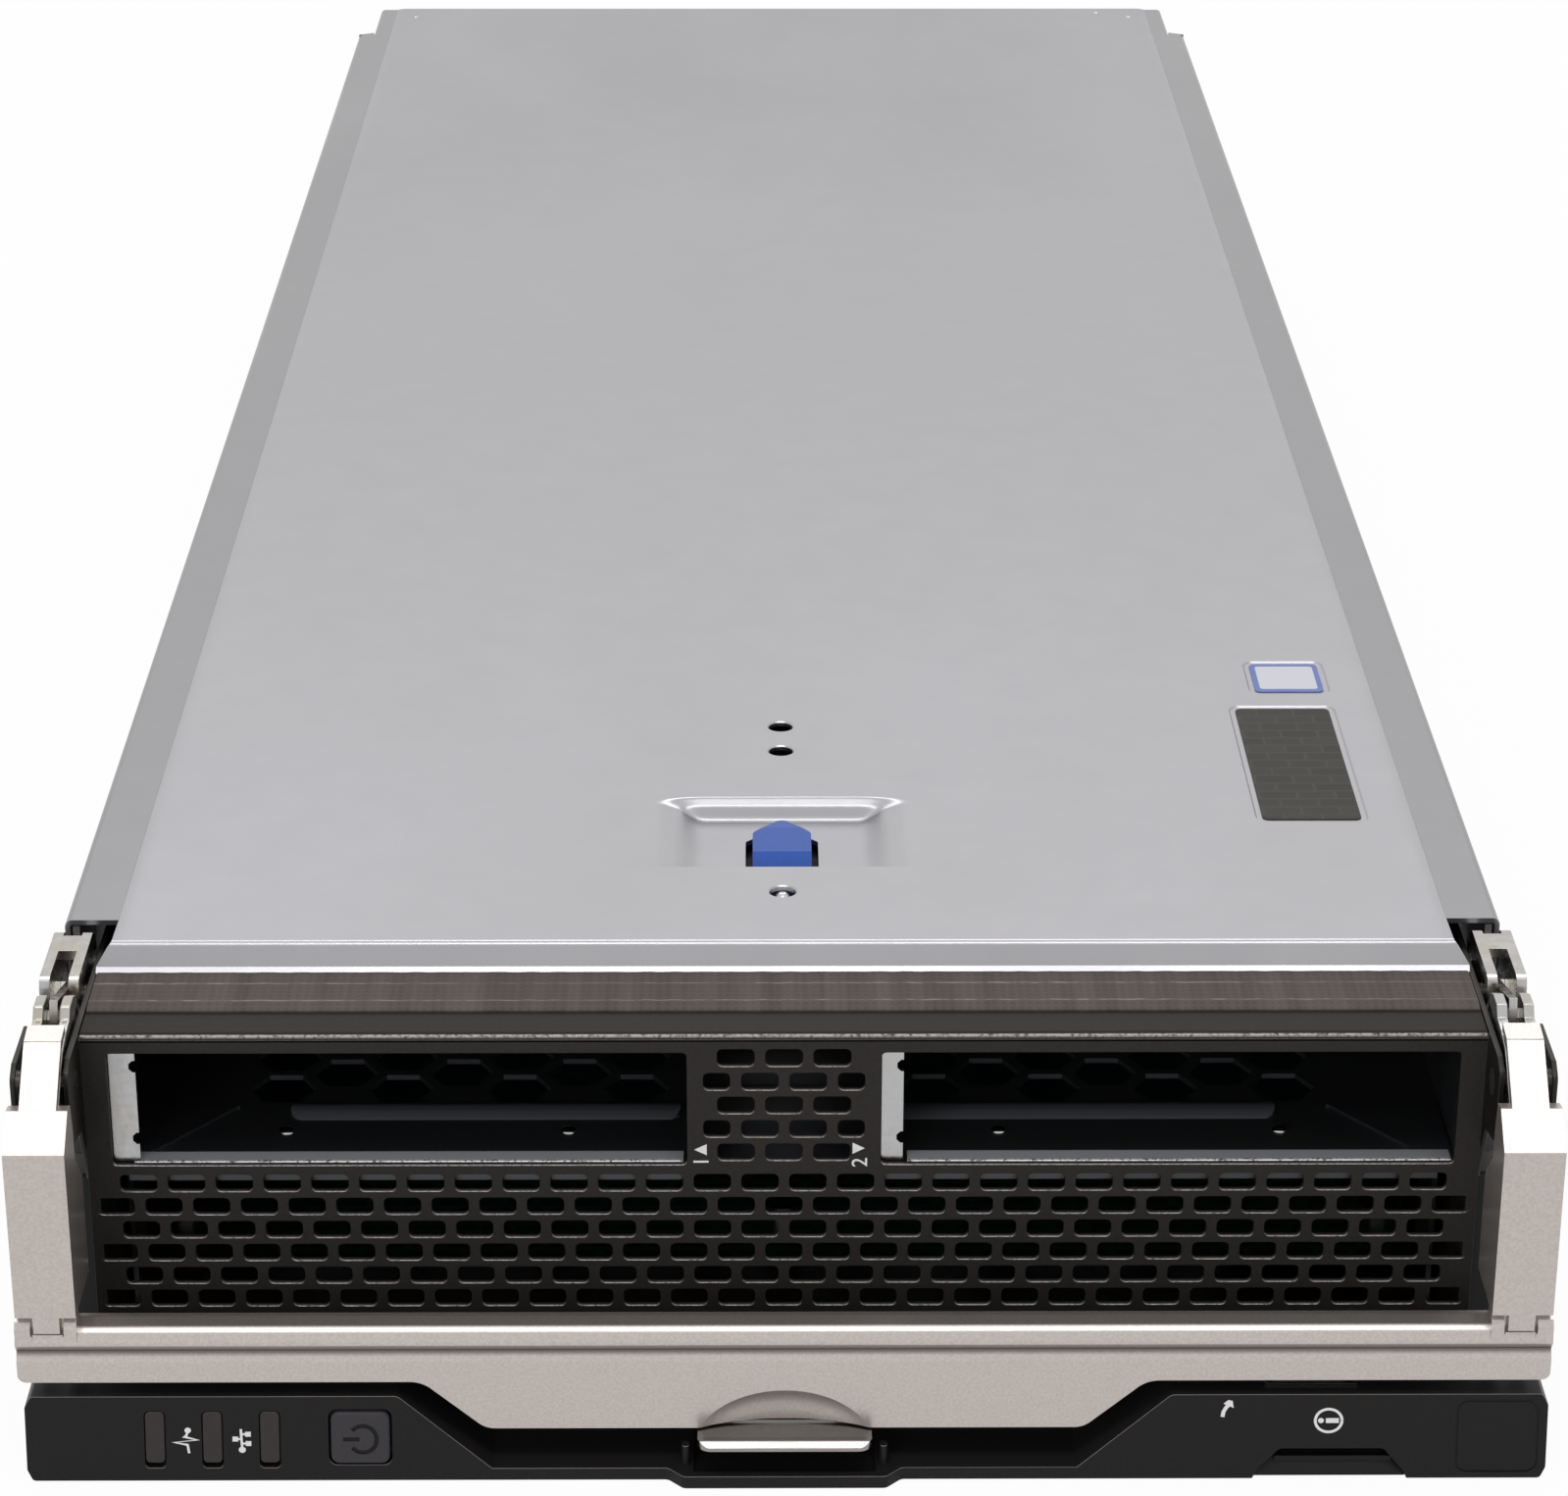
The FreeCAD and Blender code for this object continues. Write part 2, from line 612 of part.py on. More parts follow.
def indicator_windows():
    """Three light pipes whose faces sit flush in the panel."""
    pipes = []
    for x in windowXs:
        face = chamfered_rect((x - windowWidth / 2, x + windowWidth / 2),
                              (windowLow, windowLow + windowHeight), 0.7)
        lens = along_y(face, (handleFront + 0.1, handleFront + panelWall))
        stem = block((x - 0.8, x + 0.8), (handleFront + panelWall, -10.0),
                     (windowLow + 2.5, windowLow + 5.5))
        pipes.append(lens.fuse(stem))
    return Part.makeCompound(pipes)


def power_button():
    low, high = powerX - powerSize / 2, powerX + powerSize / 2
    cap = along_y(chamfered_rect((low, high), (powerLow + 0.2, powerLow + powerSize), 0.8),
                  (handleFront - 0.35, handleFront + panelWall + fit + 0.2))
    flange = block((low - 1.4, high + 1.4), (handleFront + panelWall + fit,
                                             handleFront + panelWall + fit + 1.0),
                   (powerLow + 1.2, powerLow + powerSize - 0.8))
    stem = stud((powerX, handleFront + panelWall + fit + 0.8, powerLow + 4.4), 1.3, 6.0, Y_AXIS)
    return fuse([cap, flange, stem])


def front_board():
    """Small upright board behind the lamps and the power button."""
    board = block((11.0 - panelHalf, 51.6 - panelHalf), (-9.8, -8.2),
                  (panelWall + 0.3, panelHeight - panelWall - 0.2))
    switch_case = block((powerX - 3.0, powerX + 3.0), (-11.2, -9.8), (powerLow + 1.4, powerLow + 7.4))
    return board.fuse(switch_case)


def usb_connector():
    x, y = (usbX[0] + 0.15, usbX[1] - 0.15), (usbY[0] + 0.15, usbY[1] - 0.15)
    shell = block(x, y, (panelWall + 0.2 + 1.3, panelHeight + 0.25))
    mouth = block((x[0] + 0.4, x[1] - 0.4), (y[0] + 0.4, y[1] - 0.4), (5.0, panelHeight + 1))
    tongue = block((x[0] + 1.4, x[1] - 1.4), (y[0] + 1.0, y[0] + 2.6), (4.9, panelHeight - 0.8))
    return shell.cut(mouth).fuse(tongue)


def label_pull_tab():
    strip = block((tabX[0] - 1.8, tabX[1] + 1.8), (handleFront + 0.6, handleFront + 0.6 + tabLength),
                  (tabLow, tabLow + tabSheet))
    lip = block((tabX[0] + 0.6, tabX[1] - 0.6), (handleFront + 0.6, handleFront + 1.6),
                (tabLow - 1.2, tabLow + 1.2))
    stop = block((tabX[0] - 3.6, tabX[1] + 3.6),
                 (handleFront + 0.6 + tabLength - 4, handleFront + 0.6 + tabLength),
                 (tabLow, tabLow + tabSheet))
    return fuse([strip, lip, stop])


# ---- Handle ----
def handle_bar():
    """Cast crossbar: folded front skin, top shelf, ribs behind and a scoop for the thumb."""
    front, wall = handleFront, castWall
    back = front + barDepth
    section = [(back, barTop), (front + 0.9, barTop, 0.9), (front, barCrease + 0.2),
               (front + 0.35, barSideBottom - 9),
               (front + wall + 0.35, barSideBottom - 9), (front + wall, barCrease),
               (front + wall, barTop - wall),
               (back, barTop - wall)]
    profile = across_x(section, (-barHalf, barHalf))
    face = [(-barHalf, barTop + 1), (-barHalf, barSideBottom, 0.8), (-barWideHalf, barSideBottom, 3.0),
            (-barNarrowHalf, barBottom, 3.0), (barNarrowHalf, barBottom, 3.0),
            (barWideHalf, barSideBottom, 3.0),
            (barHalf, barSideBottom, 0.8), (barHalf, barTop + 1)]
    shell = profile.common(along_y(face, (front - 1, back + 1)))
    end = [(front + 0.5, barTop - 0.5), (front + 0.5, barSideBottom + 0.4),
           (front + 3.0, barSideBottom + 0.4),
           (back, barTop - 3.0), (back, barTop - 0.5)]
    ribs = []
    spacing = (barHalf - 20.5) / 4.0
    ribs += both_sides(across_x(end, (barHalf - wall, barHalf)))
    for i in range(1, 5):
        ribs += both_sides(across_x(end, (i * spacing, i * spacing + 1.0)))
    centre = (0, front - 13.3, barBottom - 4.0)
    scoop = Part.makeSphere(1.0)
    matrix = FreeCAD.Matrix()
    matrix.scale(scoopHalf + 5.5, 15.0, scoopTop - barBottom + 4.6)
    scoop = scoop.transformGeometry(matrix)
    scoop.translate(V(*centre))
    backing = block((-scoopHalf - 1.5, scoopHalf + 1.5), (front + 0.6, front + 3.0),
                    (barBottom + 0.2, scoopTop + 1.8))
    bar = fuse([shell] + ribs + [backing]).cut(scoop)
    slots = [block((leverInner - 0.2, leverOuter + 0.2), (front + wall, back + 1),
                   (barSideBottom - 2, barTop + 1))]
    return bar.cut(slots + [mirrored(slots[0])])


def arm_cover(inner, outer, neck_in, neck_out):
    """Cast cover of one arm: wide below the shoulder, narrow above it, hollow behind."""
    front = handleFront
    knee, top_y, top_z = (front, armKnee), -8.0, pivotZ + 8.3
    slope = (top_z - armKnee) / (top_y - front)
    shoulder_y = -15.9
    shoulder_z = armKnee + (shoulder_y - front) * slope
    wide = [(front, armBottom), (front, armKnee), (shoulder_y, shoulder_z),
            (shoulder_y + 2.2, shoulder_z),
            (-12.6, shoulder_z - 5.0), (-12.6, armBottom)]
    body = across_x(wide, (inner, outer))
    body = turned_edges(body, 0.9, lambda p: (p.x < inner + 0.01 or p.x > outer - 0.01) and
                        (p.y < front + 0.01 or (p.y < shoulder_y and p.z > armKnee)))
    skin = [(front + 0.1, armKnee), (top_y, top_z), (-4.0, top_z + 0.5), (-4.0, top_z - 0.8),
            (-7.4, top_z - 1.1), (front + 1.9, armKnee - 1)]
    neck = across_x(skin, (neck_in, neck_out))
    channel = [(front + castWall, armBottom - 1), (front + castWall, armKnee - 0.8),
               (-12.0, armKnee - 0.8 + (-12.0 - front - castWall) * slope), (-12.0, armBottom - 1)]
    hollow = across_x(channel, (leverInner - 0.1, leverOuter + 0.1))
    return body.fuse(neck).cut(hollow)


def lever():
    """Pressed U channel inside an arm: carries the pivot hole and, at its tail, the drive pin."""
    front = handleFront + castWall + pressGap
    slope = (pivotZ + 8.3 - armKnee) / (-8.0 - handleFront)
    low = barSideBottom + 0.9
    tail = 3.5
    side = [(front, low), (front, armKnee - 1.2), (-7.3, armKnee - 1.2 + (-7.3 - front) * slope),
            (-3.8, pivotZ + 7.2), (0.2, pivotZ + 7.4), (1.4, tailPinZ + tail),
            (tailPinY + tail, tailPinZ + tail, tail - 0.1), (tailPinY + tail, pivotZ + 2.6, 1.9),
            (1.0, pivotZ - 4.6), (-8.2, pivotZ - 12.0), (-10.6, low)]
    plates = [across_x(side, (leverInner, leverInner + leverSheet)),
              across_x(side, (leverOuter - leverSheet, leverOuter))]
    web = block((leverInner, leverOuter), (front, front + leverSheet), (low + 0.6, armKnee - 2.0))
    channel = fuse(plates + [web])
    pivot = rod((leverInner - 1, pivotY, pivotZ), pinRadius + pinFit, 10, X_AXIS)
    drive = stud((leverInner - 1, tailPinY, tailPinZ), drivePinRadius, 10, X_AXIS, 12)
    return channel.cut([pivot, drive])


def handle_pins():
    """Riveted pins that the arms turn on, with heads outside the brackets."""
    length = bracketOuter + bracketSheet - bracketInner
    pin = rod((bracketInner, pivotY, pivotZ), pinRadius, length, X_AXIS)
    head = stud((bracketOuter + bracketSheet, pivotY, pivotZ), pinRadius + 0.9, 0.1, X_AXIS, 12)
    return Part.makeCompound(both_sides(pin.fuse(head)))


def drive_pins():
    return Part.makeCompound(both_sides(stud((leverInner, tailPinY, tailPinZ), drivePinRadius,
                                             leverOuter - leverInner, X_AXIS, 12)))


latchPinY, latchPinZ = -15.0, 11.6


def release_latch():
    """Thumb tab under the bar: a bent plate on a cross pin, with a tooth behind the tray's rib."""
    half = scoopHalf - 0.3
    tab = upright([(-half, -25.0, 2.0), (half, -25.0, 2.0), (half, latchPinY - 1.5),
                   (-half, latchPinY - 1.5)],
                  (5.4, 6.8))
    web = across_x([(latchPinY - 2.6, 5.4), (latchPinY + 1.4, 5.4), (latchPinY + 1.4, latchPinZ - 0.2),
                    (latchPinY - 1.2, latchPinZ - 0.2), (latchPinY - 1.2, 7.6),
                    (latchPinY - 2.6, 6.8)], (-half, half))
    barrel = stud((-half, latchPinY, latchPinZ), 1.8, 2 * half, X_AXIS)
    hook = across_x([(latchPinY, 6.2), (-7.4, 6.2), (-7.4, 7.6), (latchPinY, 7.6)], (-7.0, 7.0))
    tooth = across_x([(-9.6, 6.4), (-9.3, keeperTop + fit + 0.1), (-7.4, keeperTop + fit + 0.1),
                      (-7.4, 6.4)], (-7.0, 7.0))
    latch = fuse([tab, web, barrel, hook, tooth])
    return latch.cut(rod((-half - 1, latchPinY, latchPinZ), 1.0 + pinFit, 2 * half + 2, X_AXIS))


def latch_pin():
    """Cross pin and the two lugs behind the bar that hold it."""
    pin = rod((-scoopHalf - 2.6, latchPinY, latchPinZ), 1.0, 2 * scoopHalf + 5.2, X_AXIS)
    lug = across_x([(handleFront + castWall + 0.45, 9.6), (latchPinY + 2.0, 9.6),
                    (latchPinY + 2.0, latchPinZ + 2.0),
                    (handleFront + castWall + 0.45, latchPinZ + 4.0)], (scoopHalf + 1.8, scoopHalf + 3.4))
    return fuse([pin] + both_sides(lug))


def cam():
    """Ejector: two plates under a top web, with a slotted tongue that the lever's pin drives."""
    cy, cz = camPivotY, pivotZ
    side = [(11.0, camTop, 1.6), (28.3, camTop, 1.9), (28.3, cz - 2.0), (26.4, cz - 4.6),
            (22.0, cz - 6.0), (17.4, cz - 4.6), (10.8, cz + 3.0)]
    plates = [across_x(side, x) for x in camPlates]
    web = block((camPlates[0][0], camPlates[1][1]), (20.5, 25.5), (camTop - 1.5, camTop))
    tongue_x = (leverInner + leverSheet + 0.4, leverInner + leverSheet + 1.6)
    reach = math.hypot(camPivotY - tailPinY, tailPinZ - pivotZ)
    angle = math.atan2(tailPinZ - pivotZ, tailPinY - camPivotY)
    near, far = reach - 2.32, reach
    radius = drivePinRadius + 0.45

    def polar(distance, sideways):
        return (cy + distance * math.cos(angle) - sideways * math.sin(angle),
                cz + distance * math.sin(angle) + sideways * math.cos(angle))

    strap = [polar(-3.0, 3.6), polar(far + radius + 1.6, 3.1), polar(far + radius + 1.6, -3.1),
             polar(-3.0, -3.6)]
    tongue = across_x(strap, tongue_x)
    gate = across_x([polar(near, radius), polar(far, radius), polar(far, -radius), polar(near, -radius)],
                    (tongue_x[0] - 1, tongue_x[1] + 1))
    ends = [rod((tongue_x[0] - 1,) + polar(d, 0), radius, 4, X_AXIS) for d in (near, far)]
    bush = stud((camPlates[0][1] - 0.1, cy, cz), 3.6, camPlates[1][0] - camPlates[0][1] + 0.2, X_AXIS)
    body = fuse(plates + [web, tongue.cut([gate] + ends), bush])
    return body.cut(rod((camPlates[0][0] - 1, cy, cz), pinRadius + pinFit, 10, X_AXIS))


def cam_pins():
    pin = rod((bracketInner, camPivotY, pivotZ), pinRadius, camPlates[1][1] - bracketInner, X_AXIS)
    return Part.makeCompound(both_sides(pin))


def pivot_bracket():
    """Fixed clevis beside the neck: tall inner plate, short outer ear and a web under the levers."""
    z, foot = pivotZ, pivotZ - 20.0
    inner_side = [(-10.4, z - 7.0, 2.0), (-10.4, z + 4.2, 1.2), (-8.0, z + 5.6), (40.0, z + 5.6),
                  (40.0, foot), (3.5, foot), (-2.0, z - 9.0)]
    outer_side = [(-10.4, z - 7.0, 2.0), (-10.4, z + 3.4, 1.2), (-8.0, z + 4.9), (3.4, z + 4.9),
                  (9.5, z - 4.0), (9.5, foot), (3.5, foot), (-2.0, z - 9.0)]
    inner = across_x(inner_side, (bracketInner, bracketInner + bracketSheet))
    outer = across_x(outer_side, (bracketOuter, bracketOuter + bracketSheet))
    web = block((bracketInner, bracketOuter + bracketSheet), (3.5, 9.5), (foot, foot + bracketSheet))
    body = fuse([inner, outer, web])
    pins = [rod((bracketInner - 1, pivotY, pivotZ), pinRadius, 12, X_AXIS),
            rod((bracketInner - 1, camPivotY, pivotZ), pinRadius, 4, X_AXIS)]
    return body.cut(pins)


# ---- Inside ----
def system_board():
    board = block((-boardHalf, boardHalf), (boardFront, boardRear), (boardLow, boardTop))
    notch = block((boardHalf - 0.5, boardHalf + 1), (boardFront, boardFront + 6), (0, 10))
    return board.cut(both_sides(notch))


standoffXs, standoffYs = (4.4 - boardHalf, 0.0, boardHalf - 4.4), (40.0, 114.0, 305.0, 470.0, 540.0)


def board_standoffs():
    posts = [stud((x, y, panSheet), 3.2, boardLow - panSheet, Z_AXIS, 6) for x in standoffXs
             for y in standoffYs]
    return Part.makeCompound(posts)


def board_screws():
    screws = [stud((x, y, boardTop), 2.7, 1.8, Z_AXIS) for x in standoffXs
              for y in standoffYs if x or y < 100]
    return Part.makeCompound(screws)


def cpu_sockets():
    frames = []
    for y in cpuYs:
        frame = block((-38, 38), (y - 28, y + 28), (boardTop, boardTop + 4.0))
        frames.append(frame.cut(block((-29, 29), (y - 22, y + 22), (boardTop + 1.2, boardTop + 5))))
    return Part.makeCompound(frames)


def processors():
    lids = []
    for y in cpuYs:
        package = block((-28.6, 28.6), (y - 21.6, y + 21.6), (boardTop + 1.2, boardTop + 2.8))
        lid = block((-24, 24), (y - 18, y + 18), (boardTop + 2.8, boardTop + 5.2))
        lids.append(package.fuse(lid))
    return Part.makeCompound(lids)


def heatsink(y):
    base_low = boardTop + 5.2
    base = block((-sinkHalf, sinkHalf), (y - sinkLength / 2, y + sinkLength / 2),
                 (base_low, base_low + 4.5))
    fins = []
    count = int((2 * sinkHalf - finThick) / finPitch)
    for i in range(count + 1):
        x = (i - count / 2.0) * finPitch
        fins.append(block((x - finThick / 2, x + finThick / 2), (y - sinkLength / 2, y + sinkLength / 2),
                          (base_low + 4.4, sinkTop)))
    corners = [block((x - 6, x + 6), (y + b - 6, y + b + 6), (base_low + 4.5, sinkTop + 1))
               for x in (-sinkHalf + 5, sinkHalf - 5) for b in (-sinkLength / 2 + 5, sinkLength / 2 - 5)]
    return base.fuse(fins).cut(corners)


def heatsink_screws():
    screws = []
    for y in cpuYs:
        for x in (-sinkHalf + 5, sinkHalf - 5):
            for b in (-sinkLength / 2 + 5, sinkLength / 2 - 5):
                screws.append(stud((x, y + b, boardTop + 9.7), 3.3, 7.0, Z_AXIS))
    return Part.makeCompound(screws)


def dimm_places():
    for y in cpuYs:
        for side in (-1, 1):
            for i in range(dimmCount):
                yield side * (dimmFirst + i * dimmPitch), y


def memory_sockets():
    sockets = []
    for x, y in dimm_places():
        bar = block((x - socketWidth / 2, x + socketWidth / 2),
                    (y - socketLength / 2, y + socketLength / 2),
                    (boardTop, boardTop + socketHeight))
        groove = block((x - 0.9, x + 0.9), (y - dimmLength / 2 - 0.2, y + dimmLength / 2 + 0.2),
                       (boardTop + 3.0, boardTop + socketHeight + 1))
        sockets.append(bar.cut(groove))
    return Part.makeCompound(sockets)


def memory_modules():
    boards = []
    low = boardTop + 3.0
    for x, y in dimm_places():
        boards.append(block((x - dimmThick / 2, x + dimmThick / 2),
                            (y - dimmLength / 2, y + dimmLength / 2),
                            (low, low + dimmHeight)))
    return Part.makeCompound(boards)


def air_baffle():
    """Moulded duct over both heat sinks: two side walls joined by a roof with stiffening ribs."""
    front, rear = cpuYs[0] - 64.0, cpuYs[1] + 64.0
    inner = sinkHalf + 1.4
    path = [(inner, 20.0), (inner, sinkTop + 1.6), (-inner, sinkTop + 1.6), (-inner, 20.0)]
    duct = along_y(sheet(path, 1.2, 0), (front, rear))
    ribs = [block((-inner + 2, inner - 2), (y - 0.6, y + 0.6), (sinkTop + 1.5, sinkTop + 3.4))
            for y in (front + 20, cpuYs[0] + 30, (front + rear) / 2.0, cpuYs[1] - 30, rear - 20)]
    legs = [block((inner - 1.2, inner), (y - 6, y + 6), (boardTop, 20.5))
            for y in (front + 8, (front + rear) / 2.0, rear - 8)]
    return fuse([duct] + ribs + [leg for one in legs for leg in both_sides(one)])


def battery_pack():
    cells = [stud((10.4 - boardHalf + i * 19.0, 123.0, boardTop + 10.4), 9.2, 26.0, Y_AXIS, 16)
             for i in range(2)]
    tray = block((0.8 - boardHalf, 39.0 - boardHalf), (122.0, 150.0), (boardTop, boardTop + 5.0))
    return fuse([tray] + cells)


def coin_cell():
    return stud((boardHalf - 26.4, 136.0, boardTop), 10.0, 5.2, Z_AXIS, 24)


mezzanineXs = (34.4 - boardHalf, 0.0, boardHalf - 34.4)
mezzanineFront = boardRear - 88.0


def mezzanine_connectors():
    return Part.makeCompound([block((x - 22, x + 22),
                                    (mezzanineFront + 12.0, mezzanineFront + 22.0),
                                    (boardTop, boardTop + 9.0))
                              for x in mezzanineXs])


def mezzanine_card(x):
    low = boardTop + 9.0
    front = mezzanineFront
    board = block((x - 28, x + 28), (front, front + 80.0), (low, low + 1.6))
    chip = block((x - 16, x + 16), (front + 28.0, front + 60.0), (low + 1.6, low + 4.0))
    fins = [block((x - 16, x + 16), (front + y, front + y + 1.0), (low + 3.9, low + 14.0))
            for y in range(29, 60, 5)]
    legs = [stud((x + dx, front + 74.0, boardTop), 2.7, 9.0, Z_AXIS, 6) for dx in (-22, 22)]
    return fuse([board, chip] + fins + legs)


def rear_panel():
    tail_inner = tailHalf - coverSheet - fit - panSheet - bendRadius - pressGap
    wall = block((-tail_inner, tail_inner), (rearY - 3.6, rearY - 2.6), (panSheet, wallTop - 0.5))
    foot = block((-tail_inner, tail_inner), (rearY - 12.0, rearY - 2.6), (panSheet, 2 * panSheet))
    cuts = [block((x - 21.4, x + 21.4), (rearY - 8, rearY), (5.6, 25.4)) for x in mezzanineXs]
    for row in range(3):
        for i in range(9 + row % 2):
            x = (i - (8 + row % 2) / 2.0) * 19.4
            low = 30.4 + row * 9.0
            cuts.append(block((x - 8.0, x + 8.0), (rearY - 8, rearY), (low, low + 5.6)))
    return wall.fuse(foot).cut(cuts)


def midplane_connectors():
    bodies = []
    for x in mezzanineXs:
        shell = block((x - 21, x + 21), (boardRear - 6.0, rearY - 1.4), (boardTop, 25.0))
        cells = [block((x - 19 + i * 6.4, x - 14 + i * 6.4), (rearY - 2.6, rearY), (boardTop + 2, 23.0))
                 for i in range(6)]
        bodies.append(shell.cut(cells))
    return Part.makeCompound(bodies)


def bracket_screws():
    heads = [stud((bracketInner + bracketSheet, y, z), 2.5, 0.9, X_AXIS)
             for y, z in ((34.0, pivotZ - 14.0), (34.0, pivotZ))]
    return Part.makeCompound([s for head in heads for s in both_sides(head)])


def rear_screws():
    heads = [stud((x, rearY - 2.6, z), 2.5, 1.0, Y_AXIS)
             for x, z in ((8.3 - tailHalf, 20.0), (tailHalf - 8.3, 20.0))]
    return Part.makeCompound(heads)


def main():
    os.makedirs("parts", exist_ok=True)
    save("base_pan", base_pan())
    save("cover_keepers", cover_keepers())
    save("bezel", bezel())
    save("gasket", gasket())
    save("drive_cage", drive_cage())
    save("cage_walls", cage_walls())
    save("cage_divider", cage_divider())
    save("cage_roof", cage_roof())
    save("cage_rivets", cage_rivets())
    save("bay_1_guide_strip", guide_strip(-bayOuter + 0.1, -bayOuter + 3.9))
    save("bay_2_guide_strip", guide_strip(bayInner + 0.1, bayInner + 3.2))
    save("drive_backplane", drive_backplane())
    save("drive_connectors", drive_connectors())
    save("front_panel", front_panel())
    save("indicator_windows", indicator_windows())
    save("front_board", front_board())
    save("usb_connector", usb_connector())
    save("right_pivot_bracket", pivot_bracket())
    save("left_pivot_bracket", mirrored(pivot_bracket()))
    save("bracket_screws", bracket_screws())
    save("handle_pins", handle_pins())
    save("cam_pins", cam_pins())
    save("system_board", system_board())
    save("board_standoffs", board_standoffs())
    save("board_screws", board_screws())
    save("cpu_sockets", cpu_sockets())
    save("processors", processors())
    for number, y in enumerate(cpuYs, 1):
        save("heatsink_%d" % number, heatsink(y))
    save("heatsink_screws", heatsink_screws())
    save("memory_sockets", memory_sockets())
    save("memory_modules", memory_modules())
    save("air_baffle", air_baffle())
    save("battery_pack", battery_pack())
    save("coin_cell", coin_cell())
    save("mezzanine_connectors", mezzanine_connectors())
    for number, x in ((1, mezzanineXs[0]), (2, mezzanineXs[2])):
        save("mezzanine_card_%d" % number, mezzanine_card(x))
    save("midplane_connectors", midplane_connectors())
    save("rear_panel", rear_panel())
    save("rear_screws", rear_screws())

    save("cover", cover())
    save("cover_rails", cover_rails())
    save("cover_hooks", cover_hooks())
    save("cover_badge_plate", label_plate(badgeX, badgeY))
    save("cover_sticker", label_plate(stickerX, stickerY))
    save("cover_button", cover_button())

    save("handle_bar", handle_bar())
    right_arm = arm_cover(armInner, armOuter, neckInner, neckOuter)
    save("right_arm_cover", right_arm)
    save("left_arm_cover", mirrored(right_arm))
    save("right_lever", lever())
    save("left_lever", mirrored(lever()))
    save("drive_pins", drive_pins())
    save("latch_pin", latch_pin())
    save("release_latch", release_latch())
    save("right_cam", cam())
    save("left_cam", mirrored(cam()))
    save("power_button", power_button())
    save("label_pull_tab", label_pull_tab())


main()
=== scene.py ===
import json
import math
import bmesh
import bpy
from mathutils import Matrix, Vector

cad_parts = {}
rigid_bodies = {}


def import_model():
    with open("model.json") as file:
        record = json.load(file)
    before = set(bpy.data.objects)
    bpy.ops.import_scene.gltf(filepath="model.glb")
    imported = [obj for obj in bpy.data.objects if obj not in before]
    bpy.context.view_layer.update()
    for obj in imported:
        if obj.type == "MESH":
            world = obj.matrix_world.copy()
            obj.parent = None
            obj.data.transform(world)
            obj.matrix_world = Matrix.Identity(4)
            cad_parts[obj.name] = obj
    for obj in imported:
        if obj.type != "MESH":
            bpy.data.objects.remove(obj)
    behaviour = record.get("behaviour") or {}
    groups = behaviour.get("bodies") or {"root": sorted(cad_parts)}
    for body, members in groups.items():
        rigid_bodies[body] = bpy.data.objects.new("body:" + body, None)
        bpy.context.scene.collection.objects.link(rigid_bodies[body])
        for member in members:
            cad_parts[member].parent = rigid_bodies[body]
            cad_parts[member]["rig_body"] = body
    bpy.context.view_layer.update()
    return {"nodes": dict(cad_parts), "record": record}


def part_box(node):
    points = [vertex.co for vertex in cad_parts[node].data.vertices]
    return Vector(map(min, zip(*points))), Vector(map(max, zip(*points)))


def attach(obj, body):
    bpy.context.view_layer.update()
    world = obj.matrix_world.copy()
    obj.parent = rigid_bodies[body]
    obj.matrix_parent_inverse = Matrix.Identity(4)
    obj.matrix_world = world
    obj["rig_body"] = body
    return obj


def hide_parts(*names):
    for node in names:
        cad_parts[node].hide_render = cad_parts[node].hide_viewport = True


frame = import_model()
nodes = frame["nodes"]
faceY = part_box("bezel")[0].y * 1000.0        # front face of the bezel, where depth 0 is measured from


def at(x, y, z):
    # millimetres from the centre line, the bezel face and the underside, to the frame's metres
    return Vector((x / 1000.0, (y + faceY) / 1000.0, z / 1000.0))


def linear(hexColour):
    # sRGB hex to linear RGBA
    parts = [int(hexColour[i:i + 2], 16) / 255.0 for i in (1, 3, 5)]
    return [c / 12.92 if c <= 0.04045 else ((c + 0.055) / 1.055) ** 2.4 for c in parts] + [1.0]


# materials: addNode adds one node, and each function that returns a material is a real finish

def feed(tree, node, sockets):
    # each socket gets a plain value, a hex colour, or the output that drives it
    for key, value in sockets.items():
        if isinstance(value, bpy.types.NodeSocket):
            tree.links.new(value, node.inputs[key])
        else:
            node.inputs[key].default_value = linear(value) if isinstance(value, str) else value


def addNode(tree, kind, sockets=(), result=0, **settings):
    # one node with its settings; sockets are given in order, or by name or number; one output comes back
    node = tree.nodes.new("ShaderNode" + kind)
    for key, value in settings.items():
        setattr(node, key, value)
    feed(tree, node, sockets if isinstance(sockets, dict) else dict(enumerate(sockets)))
    return node.outputs[result]


def newMaterial(name):
    material = bpy.data.materials.new(name)
    material.use_nodes = True
    tree = material.node_tree
    return material, tree, tree.nodes["Principled BSDF"], addNode(tree, "TexCoord", result="Object")


def grain(tree, coords, sizeMm, stretch=(1, 1, 1), detail=2.0):
    # noise whose blobs are about sizeMm across, drawn out along the axes by stretch
    drawn = addNode(tree, "Mapping", {"Vector": coords, "Scale": [1.0 / s for s in stretch]})
    return addNode(tree, "TexNoise", {"Vector": drawn, "Scale": 1000.0 / sizeMm, "Detail": detail}, "Fac")


def overlap(tree, share, *others):
    # how far several shares apply at the same place
    for other in others:
        share = addNode(tree, "Math", (share, other), operation="MULTIPLY")
    return share


def frameDepth(depthMm):
    # depth behind the bezel face, in the frame's metres
    return (faceY + depthMm) / 1000.0


